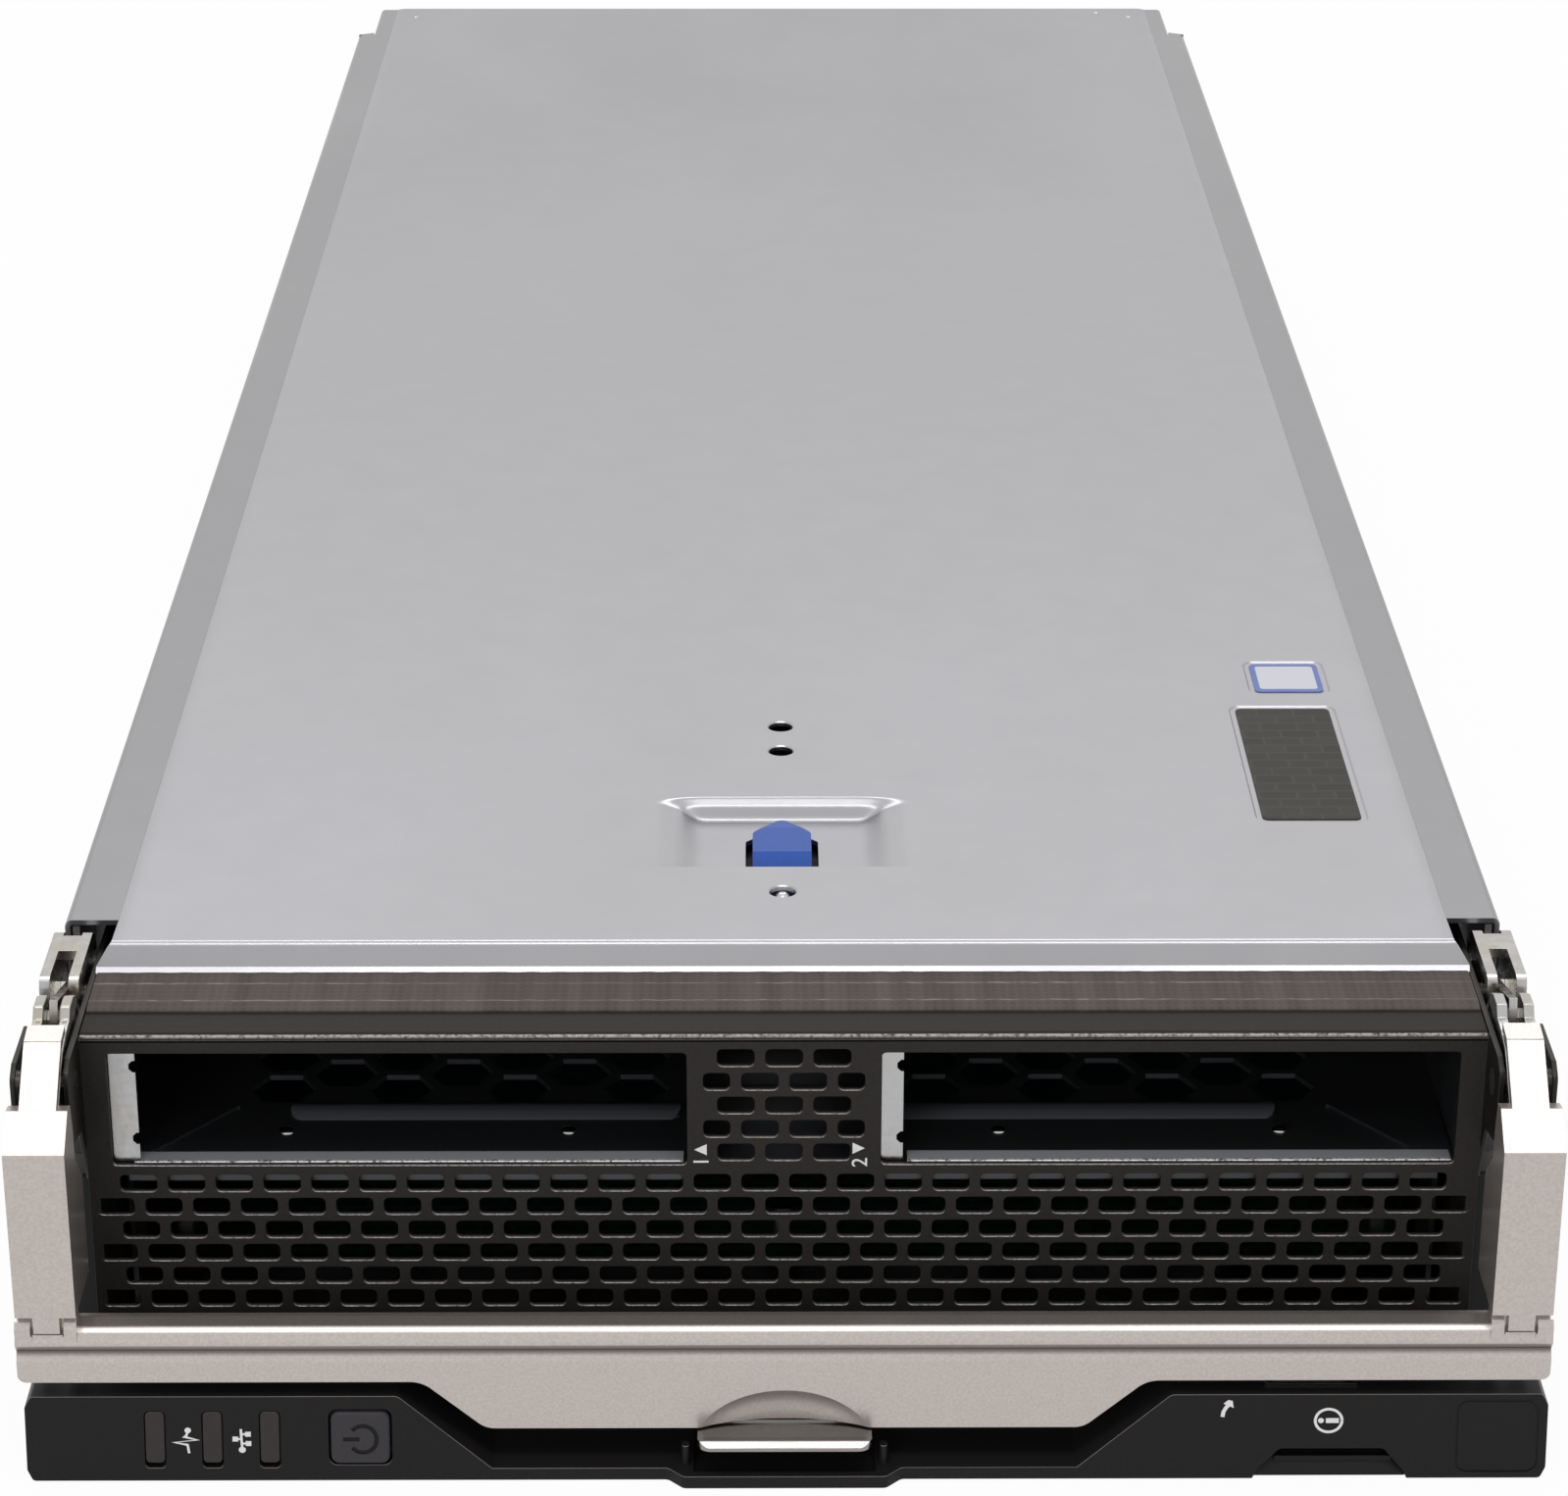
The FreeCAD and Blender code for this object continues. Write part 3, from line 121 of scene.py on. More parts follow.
def galvanisedSteel(name, light, dark):
    # cold-rolled galvanised sheet: satin grey with painted shade that darkens it towards the rear, with faint
    # spangle, rubbed scuffs and a rolling grain drawn coarser than the real one so that it shows
    look = {"rear": "#88878a", "rearShadeShare": 0.55, "rearShadeMm": (120.0, 600.0), "grainMm": 0.7,
            "grainDepthMm": 0.012, "spangleMm": 9.0, "scuffMm": 60.0, "roughness": (0.28, 0.37)}
    material, tree, shader, coords = newMaterial(name)
    spangle = grain(tree, coords, look["spangleMm"], detail=4.0)
    rolling = grain(tree, coords, look["grainMm"], (1, 14, 1))
    scuff = grain(tree, coords, look["scuffMm"], (1, 2.2, 1), 5.0)
    faded = addNode(tree, "MapRange", (scuff, 0.3, 0.7, 0.1, 0.45))
    tone = addNode(tree, "Math", (spangle, 0.45, faded), operation="MULTIPLY_ADD")
    sheet = addNode(tree, "Mix", {0: tone, 6: light, 7: dark}, 2, data_type="RGBA")
    # painted shade: further back, the sheet's colour is mixed towards the dark rear colour
    start, end = [frameDepth(depth) for depth in look["rearShadeMm"]]
    depth = addNode(tree, "SeparateXYZ", (coords,), "Y")
    rearShade = addNode(tree, "MapRange", (depth, start, end, 0.0, look["rearShadeShare"]))
    feed(tree, shader, {
        "Base Color": addNode(tree, "Mix", {0: rearShade, 6: sheet, 7: look["rear"]}, 2, data_type="RGBA"),
        "Roughness": addNode(tree, "MapRange", (scuff, 0.35, 0.7, *look["roughness"])),
        "Metallic": 1.0,
        "Normal": addNode(tree, "Bump", {"Height": rolling, "Distance": look["grainDepthMm"] / 1000.0})})
    return material


def silverPaint():
    # sprayed metallic silver over die-cast zinc: warm grey with a soft sheen, orange peel and painted shade
    # that darkens the crease; the flake is drawn coarser than the real one so that it shows
    look = {"light": "#c0b8b3", "dark": "#b6aea9", "flakeMm": 0.4, "orangePeelMm": 3.0, "peelDepthMm": 0.006,
            "creaseShade": "#4a4442", "creaseShadeShare": 0.75, "creaseMm": (20.8, 19.4, 19.1, 18.6),
            "frontMm": (-18.6, -19.0)}
    material, tree, shader, coords = newMaterial("silverPaintedDieCasting")
    flake = grain(tree, coords, look["flakeMm"], detail=1.0)
    glint = addNode(tree, "MapRange", (flake, 0.35, 0.65))
    paint = addNode(tree, "Mix", {0: glint, 6: look["light"], 7: look["dark"]}, 2, data_type="RGBA")
    start, full, still, end = [height / 1000.0 for height in look["creaseMm"]]
    height = addNode(tree, "SeparateXYZ", (coords,), "Z")
    depth = addNode(tree, "SeparateXYZ", (coords,), "Y")
    behind, before = [frameDepth(front) for front in look["frontMm"]]
    # painted shade: the front of the paint turns darker towards the crease, fading out above it and ending
    # just below it
    creaseShading = overlap(tree, addNode(tree, "MapRange", (height, start, full, 0.0, look["creaseShadeShare"])),
                    addNode(tree, "MapRange", (height, end, still)),
                    addNode(tree, "MapRange", (depth, behind, before)))
    peel = grain(tree, coords, look["orangePeelMm"])
    feed(tree, shader, {
        "Base Color": addNode(tree, "Mix", {0: creaseShading, 6: paint, 7: look["creaseShade"]}, 2, data_type="RGBA"),
        "Metallic": 0.78,
        "Roughness": 0.3,
        "Normal": addNode(tree, "Bump", {"Height": peel, "Distance": look["peelDepthMm"] / 1000.0})})
    return material


def blackPowderCoat():
    # fine-texture black powder coat on sheet steel: near black, turning to grainy bare metal on upward edges,
    # partly rubbed wear and partly painted highlight; the texture is drawn coarser than the real one so that
    # it shows
    look = {"light": "#33302e", "dark": "#282624", "bare": "#c2bdb9", "wornAndLitMm": (0.45, 0.25),
            "textureMm": 0.5, "textureDepthMm": 0.03}
    material, tree, shader, coords = newMaterial("blackPowderCoatedSteel")
    texture = grain(tree, coords, look["textureMm"], detail=3.0)
    facing = addNode(tree, "SeparateXYZ", (addNode(tree, "TexCoord", result="Normal"),), "Z")
    depth = addNode(tree, "SeparateXYZ", (coords,), "Y")
    start, end = [frameDepth(wornAndLit) for wornAndLit in look["wornAndLitMm"]]
    # partly rubbed wear, partly painted highlight: upward faces at the front edge turn to bright bare metal
    wornAndLit = overlap(tree, addNode(tree, "MapRange", (facing, 0.3, 0.72)),
                   addNode(tree, "MapRange", (depth, start, end)),
                   addNode(tree, "MapRange", (texture, 0.3, 0.55, 0.15, 0.95)))
    coat = addNode(tree, "Mix", {0: texture, 6: look["light"], 7: look["dark"]}, 2, data_type="RGBA")
    feed(tree, shader, {
        "Base Color": addNode(tree, "Mix", {0: wornAndLit, 6: coat, 7: look["bare"]}, 2, data_type="RGBA"),
        "Metallic": wornAndLit,
        "Roughness": 0.42,
        "Specular IOR Level": 0.06,
        "Normal": addNode(tree, "Bump", {"Height": texture, "Distance": look["textureDepthMm"] / 1000.0})})
    return material


def shearedEdge():
    # cut edge of coated sheet: bare grainy steel, broken up where the coating still clings
    look = {"bare": "#d9d8d6", "coat": "#5a5a5b", "grainMm": 0.45}
    material, tree, shader, coords = newMaterial("shearedSheetEdge")
    cling = addNode(tree, "MapRange", (grain(tree, coords, look["grainMm"], detail=3.0), 0.36, 0.5))
    feed(tree, shader, {
        "Base Color": addNode(tree, "Mix", {0: cling, 6: look["coat"], 7: look["bare"]}, 2, data_type="RGBA"),
        "Metallic": 0.55,
        "Roughness": 0.4})
    return material


def wipedMetal(name, light, dark, metal, rough, sizeMm, stretch, detail=2.0):
    # metal whose colour and gloss drift together along one pattern of wipe marks, hairs or draw lines
    material, tree, shader, coords = newMaterial(name)
    pattern = grain(tree, coords, sizeMm, stretch, detail)
    feed(tree, shader, {
        "Base Color": addNode(tree, "Mix", {0: pattern, 6: light, 7: dark}, 2, data_type="RGBA"),
        "Metallic": metal,
        "Roughness": addNode(tree, "MapRange", (pattern, 0.3, 0.7, *rough))})
    return material


def phosphatedSteel(name, light, dark, metal=0.85):
    # dark grey coated sheet of the drive cage, its paler copies that paint the highlight on the ledges and
    # ridges, and the brackets' zinc plate darkened as painted shade: dull, with faint wipe marks
    return wipedMetal(name, light, dark, metal, (0.3, 0.42), 14.0, (3, 1, 1), 4.0)


def polishedSteel(name, light, dark, rough):
    # drawn steel of pins, rivets and the latch: hair scratches, drawn half a millimetre wide so that they
    # show, pull the highlight out
    return wipedMetal(name, light, dark, 1.0, rough, 0.5, (18, 1, 1))


def bareAluminium():
    # extruded and sawn aluminium: pale, with fine draw lines along the fins
    return wipedMetal("extrudedAluminium", "#cfcfd1", "#bcbcbf", 1.0, (0.28, 0.42), 0.5, (1, 25, 1))


def zincPassivate():
    # blue and yellow passivated zinc plate on stamped steel: bright, with straw and blue casts
    look = {"straw": "#b1aa9c", "blue": "#b2b2b3", "castMm": 9.0, "handlingMm": 1.4}
    material, tree, shader, coords = newMaterial("passivatedZincPlate")
    cast = addNode(tree, "MapRange", (grain(tree, coords, look["castMm"], detail=3.0), 0.25, 0.6))
    handling = grain(tree, coords, look["handlingMm"])
    feed(tree, shader, {
        "Base Color": addNode(tree, "Mix", {0: cast, 6: look["straw"], 7: look["blue"]}, 2, data_type="RGBA"),
        "Metallic": 1.0,
        "Roughness": addNode(tree, "MapRange", (handling, 0.3, 0.7, 0.16, 0.3))})
    return material


def mouldedPlastic(name, light, dark, roughness, textureMm=0.5, depthMm=0.015):
    # injection-moulded plastic with a spark-eroded texture, drawn coarser than the real one so that it shows:
    # even colour that breaks the highlight up a little
    material, tree, shader, coords = newMaterial(name)
    texture = grain(tree, coords, textureMm)
    feed(tree, shader, {
        "Base Color": addNode(tree, "Mix", {0: texture, 6: light, 7: dark}, 2, data_type="RGBA"),
        "Roughness": roughness,
        "IOR": 1.52,
        "Specular IOR Level": 0.2,
        "Normal": addNode(tree, "Bump", {"Height": texture, "Distance": depthMm / 1000.0})})
    return material


def edgeLitPlastic(name, light, dark, edgeHighlight):
    # textured moulding with a painted highlight: eased edges between an upward and a forward face turn paler
    material = mouldedPlastic(name, light, dark, 0.4)
    tree = material.node_tree
    shader = tree.nodes["Principled BSDF"]
    normal = addNode(tree, "TexCoord", result="Normal")
    up, along = [addNode(tree, "SeparateXYZ", (normal,), axis) for axis in ("Z", "Y")]
    upward = addNode(tree, "MapRange", (up, 0.3, 0.6))
    forward = addNode(tree, "MapRange", (along, -0.25, -0.45))
    body = shader.inputs["Base Color"].links[0].from_socket
    # painted highlight on edges that face both up and forward
    edges = {0: overlap(tree, upward, forward), 6: body, 7: edgeHighlight}
    feed(tree, shader, {
        "Base Color": addNode(tree, "Mix", edges, 2, data_type="RGBA"),
        "Specular IOR Level": 0.12})
    return material


def wovenGasket():
    # nickel-copper ripstop cloth over foam: brown-grey weave, two stitched-looking seams and cross creases;
    # the weave, two threads to each wave, is drawn coarser than the real one so that it shows
    look = {"light": "#574d48", "dark": "#3c3431", "thread": "#8d8079", "threadMm": 0.62, "creaseMm": 4.0,
            "seamsMm": (9.2, 14.6), "seamHalfMm": 0.14, "wearMm": 2.5, "reliefMm": 0.12}
    material, tree, shader, coords = newMaterial("conductiveGasketCloth")
    weave = {"Vector": coords, "Scale": 50.0 * math.pi / look["threadMm"], "Distortion": 0.25, "Detail": 1.0}
    cloth = overlap(tree, *[addNode(tree, "TexWave", weave, "Fac", wave_type="BANDS", bands_direction=axis)
                            for axis in ("X", "Y")])
    crease = grain(tree, coords, look["creaseMm"], (1, 30, 1), 3.0)
    folds = addNode(tree, "MapRange", (crease, 0.35, 0.65, 0.0, 0.65))
    tone = addNode(tree, "Math", (cloth, 0.35, folds), operation="MULTIPLY_ADD")
    depth = addNode(tree, "SeparateXYZ", (coords,), "Y")
    seamHalf = look["seamHalfMm"] / 1000.0
    lines = [addNode(tree, "Math", (depth, frameDepth(seam), seamHalf), operation="COMPARE")
             for seam in look["seamsMm"]]
    seams = addNode(tree, "Math", lines, operation="ADD")
    wear = addNode(tree, "MapRange", (grain(tree, coords, look["wearMm"]), 0.4, 0.6, 0.25, 0.8))
    woven = addNode(tree, "Mix", {0: tone, 6: look["light"], 7: look["dark"]}, 2, data_type="RGBA")
    sewn = {0: overlap(tree, seams, wear), 6: woven, 7: look["thread"]}
    relief = addNode(tree, "Math", (cloth, 0.4, crease), operation="MULTIPLY_ADD")
    feed(tree, shader, {
        "Base Color": addNode(tree, "Mix", sewn, 2, data_type="RGBA"),
        "Roughness": 0.75,
        "Metallic": 0.25,
        "Normal": addNode(tree, "Bump", {"Height": relief, "Distance": look["reliefMm"] / 1000.0})})
    return material


def plainFilm(name, colour, roughness, speckMm=3.0):
    # printed or coated film: flat colour with a slightly uneven gloss from handling
    material, tree, shader, coords = newMaterial(name)
    handling = grain(tree, coords, speckMm, detail=3.0)
    feed(tree, shader, {
        "Base Color": colour,
        "Roughness": addNode(tree, "MapRange", (handling, 0.3, 0.7, roughness - 0.05, roughness + 0.06))})
    return material


def printedBadge():
    # dark printed polyester with a faint grid of bricks, each half a texture unit wide, under a satin varnish
    look = {"Color1": "#38352f", "Color2": "#312e29", "Mortar": "#3e3b35", "Mortar Size": 0.02}
    brickMm = 6.0
    material, tree, shader, coords = newMaterial("darkPolyesterLabel")
    bricks = addNode(tree, "TexBrick", {"Vector": coords, "Scale": 500.0 / brickMm, **look})
    feed(tree, shader, {"Base Color": bricks, "Roughness": 0.45, "Specular IOR Level": 0.12})
    return material


def circuitBoard():
    # solder mask over glass-fibre laminate: deep green with slightly lighter copper tracks under it, each a
    # quarter of a texture unit from the next
    look = {"Color1": "#0b2016", "Color2": "#0e261b", "Mortar": "#16382a", "Mortar Size": 0.06}
    trackMm = 2.6
    material, tree, shader, coords = newMaterial("solderMaskedLaminate")
    tracks = addNode(tree, "TexBrick", {"Vector": coords, "Scale": 250.0 / trackMm, **look}, offset=0.35)
    feed(tree, shader, {"Base Color": tracks, "Roughness": 0.32})
    return material


finish = {
    "galvanised_steel": galvanisedSteel("galvanisedSheetSteel", "#aeadb0", "#9f9ea2"),
    "railSteel": galvanisedSteel("galvanisedStripSteel", "#989799", "#8b8a8c"),
    "black_steel": blackPowderCoat(),
    "dark_steel": phosphatedSteel("darkCoatedCageSteel", "#5a5c60", "#45474a"),
    "zinc_plate": zincPassivate(),
    "silver_paint": silverPaint(),
    "ink": plainFilm("whiteScreenInk", "#d8d8d8", 0.5),
    "blueInk": plainFilm("blueScreenInk", "#5b6fb0", 0.5),
    "black_plastic": edgeLitPlastic("blackMouldedAbs", "#201f1f", "#1a1919", "#7a7673"),
    "plainBlack": mouldedPlastic("blackMouldedNylon", "#101011", "#0a0a0b", 0.45),
    "grey_plastic": mouldedPlastic("greyMouldedAbs", "#38363a", "#2f2d31", 0.4),
    "blue_plastic": mouldedPlastic("blueMouldedAbs", "#355bb0", "#2c509f", 0.3, 0.6, 0.006),
    "smoked_plastic": mouldedPlastic("smokedAcrylic", "#34302e", "#2b2827", 0.2, 2.0, 0.002),
    "gasket_cloth": wovenGasket(),
    "circuit_board": circuitBoard(),
    "socket_plastic": mouldedPlastic("glassFilledNylon", "#1c1c1f", "#131315", 0.55, 0.3),
    "bare_aluminium": bareAluminium(),
    "bright_steel": polishedSteel("polishedDrawnSteel", "#c9c8c6", "#b5b3b0", (0.14, 0.24)),
    # a darker copy of the latch's drawn steel for its lip, as painted shade
    "shadedLatchSteel": polishedSteel("latchSteelPaintedShade", "#9c9a98", "#8b8987", (0.2, 0.28)),
    "shearedEdge": shearedEdge(),
    # paler copies of the cage's coated steel: painted highlight on the bay ledges and the ridges
    "ledgeLitCageSteel": phosphatedSteel("cageSteelPaintedLedgeHighlight", "#a5a8ae", "#8e9197", 0.3),
    "ridgeLitCageSteel": phosphatedSteel("cageSteelPaintedRidgeHighlight", "#6d7075", "#585b60", 0.6),
    # the brackets' zinc plate in a dark copy, as painted shade
    "shadedBracketZinc": phosphatedSteel("zincPlatePaintedShade", "#3d3a36", "#2a2826"),
    "label_film": printedBadge(),
    "white_label": plainFilm("whitePolyesterLabel", "#c9cbd2", 0.45),
    "battery_film": plainFilm("shrinkSleeve", "#22306a", 0.25),
}
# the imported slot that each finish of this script's own stands for
for part in frame["record"]["subparts"]:
    mesh = nodes[part["node"]].data
    mesh.materials.clear()
    mesh.materials.append(finish[part["material_slot"]])
print("materials ready")


# helpers that build, ease and place a piece

def placed(data, name="holder"):
    # an object for a mesh, curve, camera or lamp, linked to the scene
    holder = bpy.data.objects.new(name, data)
    bpy.context.scene.collection.objects.link(holder)
    return holder


def baked(holder):
    # mesh of an object with its modifiers applied; the holder is removed
    bpy.context.view_layer.update()
    depsgraph = bpy.context.evaluated_depsgraph_get()
    mesh = bpy.data.meshes.new_from_object(holder.evaluated_get(depsgraph))
    bpy.data.objects.remove(holder)
    return mesh


def meshOf(bm):
    # mesh from a finished bmesh, which is freed
    mesh = bpy.data.meshes.new("mesh")
    bm.to_mesh(mesh)
    bm.free()
    return mesh


def addPiece(name, mesh, slotName, body, stands=(), smoothDeg=35.0):
    # a finished piece in the frame: shading led by its broad faces, the finish of its slot as material, its
    # ride, and the CAD nodes it stands for, which are hidden
    mesh.materials.clear()
    mesh.materials.append(finish[slotName])
    mesh.polygons.foreach_set("use_smooth", [True] * len(mesh.polygons))
    mesh.set_sharp_from_angle(angle=math.radians(smoothDeg))
    holder = placed(mesh)
    broad = holder.modifiers.new("broad", "WEIGHTED_NORMAL")
    broad.mode, broad.weight, broad.keep_sharp = "FACE_AREA", 80, True
    piece = placed(baked(holder), name)
    piece.data.name = name
    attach(piece, body)
    if stands:
        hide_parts(*stands)


def rounded(mesh, widthMm, segments=3, angleDeg=28.0):
    # eased edges: what pressing, casting or moulding leaves on every corner
    bm = bmesh.new()
    bm.from_mesh(mesh)
    bmesh.ops.remove_doubles(bm, verts=bm.verts, dist=0.00002)
    bmesh.ops.dissolve_limit(bm, angle_limit=math.radians(1.0), verts=bm.verts, edges=bm.edges)
    holder = placed(meshOf(bm))
    ease = holder.modifiers.new("ease", "BEVEL")
    ease.width, ease.segments, ease.limit_method = widthMm / 1000.0, segments, "ANGLE"
    ease.angle_limit = math.radians(angleDeg)
    return baked(holder)


def easedCopy(node, widthMm, slotName, segments=3):
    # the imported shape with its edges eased, in place of the sharp one
    name = node + "Eased"
    mesh = rounded(nodes[node].data, widthMm, segments)
    addPiece(name, mesh, slotName, nodes[node]["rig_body"], [node])


def cut(mesh, cutters, operation="DIFFERENCE"):
    # exact boolean of a solid with each cutter in turn
    holder = placed(mesh)
    helpers = [placed(cutter) for cutter in cutters]
    for helper in helpers:
        helper.hide_render = True
        modifier = holder.modifiers.new("cut", "BOOLEAN")
        modifier.operation, modifier.object, modifier.solver = operation, helper, "EXACT"
    result = baked(holder)
    for helper in helpers:
        bpy.data.objects.remove(helper)
    return result


def joined(meshes):
    # several closed solids in one mesh
    bm = bmesh.new()
    for mesh in meshes:
        bm.from_mesh(mesh)
    return meshOf(bm)


def prism(points, axis, low, high, far=None):
    # solid with an outline (a, b), run along an axis: x uses (Y, Z), y uses (X, Z), z uses (X, Y);
    # far is the outline at its other end
    place = {"x": lambda a, b, c: at(c, a, b), "y": lambda a, b, c: at(a, c, b), "z": at}[axis]
    bm = bmesh.new()
    first = [bm.verts.new(place(p[0], p[1], low)) for p in points]
    second = [bm.verts.new(place(p[0], p[1], high)) for p in far or points]
    bm.faces.new(first)
    bm.faces.new(second)
    for i in range(len(points)):
        j = (i + 1) % len(points)
        bm.faces.new((first[i], first[j], second[j], second[i]))
    bmesh.ops.recalc_face_normals(bm, faces=bm.faces)
    return meshOf(bm)


def gridOf(rows):
    # open surface through rows of points
    bm = bmesh.new()
    grid = [[bm.verts.new(point) for point in row] for row in rows]
    for near, far in zip(grid, grid[1:]):
        for i in range(len(near) - 1):
            bm.faces.new((near[i], near[i + 1], far[i + 1], far[i]))
    return bm


def ellipsoid(centreMm, radiiMm, rings):
    bm = bmesh.new()
    bmesh.ops.create_uvsphere(bm, u_segments=rings[0], v_segments=rings[1], radius=1.0)
    scale = Matrix.Diagonal([radius / 1000.0 for radius in radiiMm] + [1.0])
    bmesh.ops.transform(bm, verts=bm.verts, matrix=Matrix.Translation(at(*centreMm)) @ scale)
    return meshOf(bm)


def corners(points, steps=5):
    # closed outline from (a, b) or (a, b, radius), each radius turned in small steps
    result = []
    for i, point in enumerate(points):
        here = Vector(point[:2])
        radius = point[2] if len(point) > 2 else 0.0
        if radius == 0.0:
            result.append(here)
            continue
        before, after = Vector(points[i - 1][:2]), Vector(points[(i + 1) % len(points)][:2])
        toBefore, toAfter = (before - here).normalized(), (after - here).normalized()
        half = math.acos(max(-1.0, min(1.0, toBefore.dot(toAfter)))) / 2.0
        centre = here + (toBefore + toAfter).normalized() * (radius / math.sin(half))
        first = here + toBefore * (radius / math.tan(half)) - centre
        side = 1.0 if toBefore.cross(toAfter) < 0 else -1.0
        turn = side * (math.pi - 2.0 * half)
        for k in range(steps + 1):
            c, s = math.cos(turn * k / steps), math.sin(turn * k / steps)
            result.append(centre + Vector((first.x * c - first.y * s, first.x * s + first.y * c)))
    return result


def openCorners(path, steps=5):
    # like corners, for a line with two free ends
    return corners([path[0][:2]] + list(path[1:-1]) + [path[-1][:2]], steps)


def mitres(line, least):
    # at each point of a line, the way to its right, longer at bends so that a parallel keeps its distance
    ways = []
    for i, point in enumerate(line):
        legs = (point - line[max(i - 1, 0)], line[min(i + 1, len(line) - 1)] - point)
        sides = [Vector((leg.y, -leg.x)).normalized() for leg in legs if leg.length > 1e-9]
        lean = (sides[0] + sides[-1]).normalized()
        ways.append(lean / max(least, lean.dot(sides[0])))
    return ways


def sheetOutline(path, thickness):
    # closed outline of bent sheet metal: the path and its offset to the right of travel
    line = openCorners(path)
    return line + [p + way * thickness for p, way in zip(line, mitres(line, 0.35))][::-1]


def strokeOf(points, width):
    # solid line with square ends along an open path, as one closed outline
    line = [Vector(p) for p in points]
    ways = mitres(line, 0.5)
    right, left = [[p + way * side * width / 2.0 for p, way in zip(line, ways)] for side in (1, -1)]
    return right + left[::-1]


def arcPath(x, z, radius, first, last, steps):
    # first and last in degrees, anticlockwise from +X
    angles = [math.radians(first + (last - first) * k / steps) for k in range(steps + 1)]
    return [(x + radius * math.cos(a), z + radius * math.sin(a)) for a in angles]


def disc(x, z, radius, steps=20):
    return arcPath(x, z, radius, 0.0, 360.0, steps)[:-1]


def rect(across, along, radius=0.0, steps=5):
    # outline between two pairs of limits, with round corners where a radius is given
    (x0, x1), (y0, y1) = across, along
    return corners([(x0, y0, radius), (x1, y0, radius), (x1, y1, radius), (x0, y1, radius)], steps)


def grown(limits, by):
    return limits[0] - by, limits[1] + by


def onSide(side, limits):
    # limits across the width on the right (1) or the left (-1), in rising order
    return sorted(side * limit for limit in limits)


def evenly(low, high, pitch):
    count = max(1, round((high - low) / pitch))
    return [low + (high - low) * i / count for i in range(count + 1)]


# cover: one pressed panel with a latch recess, holes and label beds
cover = {"halfMm": 98.0, "topMm": 63.5, "rearMm": 577.0, "sheetMm": 0.8,
         "foldMm": 21.0, "foldHalfMm": 100.2, "foldEndMm": 29.0,
         "edgeStepsMm": (0.0, 0.7, 1.5, 2.6), "edgeDropsMm": (0.3, 0.14, 0.04),
         "recessHalfMm": 19.6, "recessFrontMm": 46.6, "recessRearMm": 72.4,
         "sideSlopeMm": 7.4, "rearSlopeMm": 2.9, "cornerPower": 2.2,
         "slope": ((0.0, 0.0), (0.08, 0.05), (0.5, 1.0), (0.8, 2.5), (0.9, 2.82), (0.97, 2.97), (1.0, 3.0)),
         "window": ((-5.6, 47.0), (5.6, 47.0), (5.6, 62.0, 0.8), (0.0, 67.6, 0.8), (-5.6, 62.0, 0.8)),
         "holeMm": (38.0, 90.5, 100.3), "holeRadiusMm": 1.95, "holeEaseMm": 0.22,
         "bedDepthMm": 0.25, "bedEaseMm": 0.28, "bedCornerMm": 1.6,
         "dimplesMm": ((-92.4, 568.0), (84.9, 572.5), (93.0, 568.0)),
         "dimpleRadiiMm": (0.5, 1.3), "dimpleDepthMm": 0.25}
# each label's bed in the cover with its film inside, the film's finish and the CAD node it stands for
labels = {"badge": (((73.8, 90.8), (63.1, 108.4)), "label_film", "cover_badge_plate"),
          "sticker": (((78.0, 91.0), (114.0, 127.5)), "blueInk", "cover_sticker")}
filmGapMm = 0.8


def recessDrop(x, y):
    # depth of the pressed latch recess: long soft shoulders at the sides, a short one at the rear, and a
    # sheared wall at the front
    if y < cover["recessFrontMm"] + 0.05:
        return 0.0
    side = max(0.0, 1.0 - (cover["recessHalfMm"] - abs(x)) / cover["sideSlopeMm"])
    rear = max(0.0, 1.0 - (cover["recessRearMm"] - y) / cover["rearSlopeMm"])
    power = cover["cornerPower"]
    inward = 1.0 - (side ** power + rear ** power) ** (1.0 / power)
    if inward <= 0.0:
        return 0.0
    for (low, first), (high, second) in zip(cover["slope"], cover["slope"][1:]):
        if inward <= high:
            return first + (second - first) * (inward - low) / (high - low)
    return cover["slope"][-1][1]


def coverSheet():
    # rolled front edge, flat top with its recess and side edges that turn down a little
    half, top, front, foldEnd = [cover[k] for k in ("halfMm", "topMm", "foldMm", "foldEndMm")]
    drops = cover["edgeDropsMm"]
    edge = [half - step for step in cover["edgeStepsMm"]]
    columns = [-x for x in edge] + evenly(-24.0, 24.0, 0.8) + edge[::-1]
    fold = openCorners([(front - 2.3, top - 4.0), (front - 1.5, top - 3.25, 0.3), (front, top, 1.1),
                        (foldEnd, top)], 6)
    flat = [40.0] + evenly(44.0, cover["recessFrontMm"], 1.3) + [cover["recessFrontMm"] + 0.1]
    flat += evenly(47.5, 68.5, 1.0) + evenly(68.8, 73.2, 0.2) + evenly(80.0, cover["rearMm"], 40.0)
    surface = []
    for y, z in [tuple(p) for p in fold] + [(y, top) for y in flat]:
        onFold = y < foldEnd - 0.1
        flare = (cover["foldHalfMm"] - half) * min(1.0, (top - z) / 2.4)
        row = []
        for i, x in enumerate(columns):
            fromEdge = min(i, len(columns) - 1 - i)
            if onFold:
                row.append(at(x if fromEdge else x + math.copysign(flare, x), y, z))
            else:
                drop = drops[fromEdge] if fromEdge < len(drops) else 0.0
                row.append(at(x, y, z - recessDrop(x, y) - drop))
        surface.append(row)
    bm = gridOf(surface)
    bmesh.ops.recalc_face_normals(bm, faces=bm.faces)
    if sum(f.normal.z for f in bm.faces) < 0:
        bmesh.ops.reverse_faces(bm, faces=bm.faces)
    holder = placed(meshOf(bm))
    thick = holder.modifiers.new("sheet", "SOLIDIFY")
    thick.thickness, thick.offset = cover["sheetMm"] / 1000.0, -1.0
    return baked(holder)


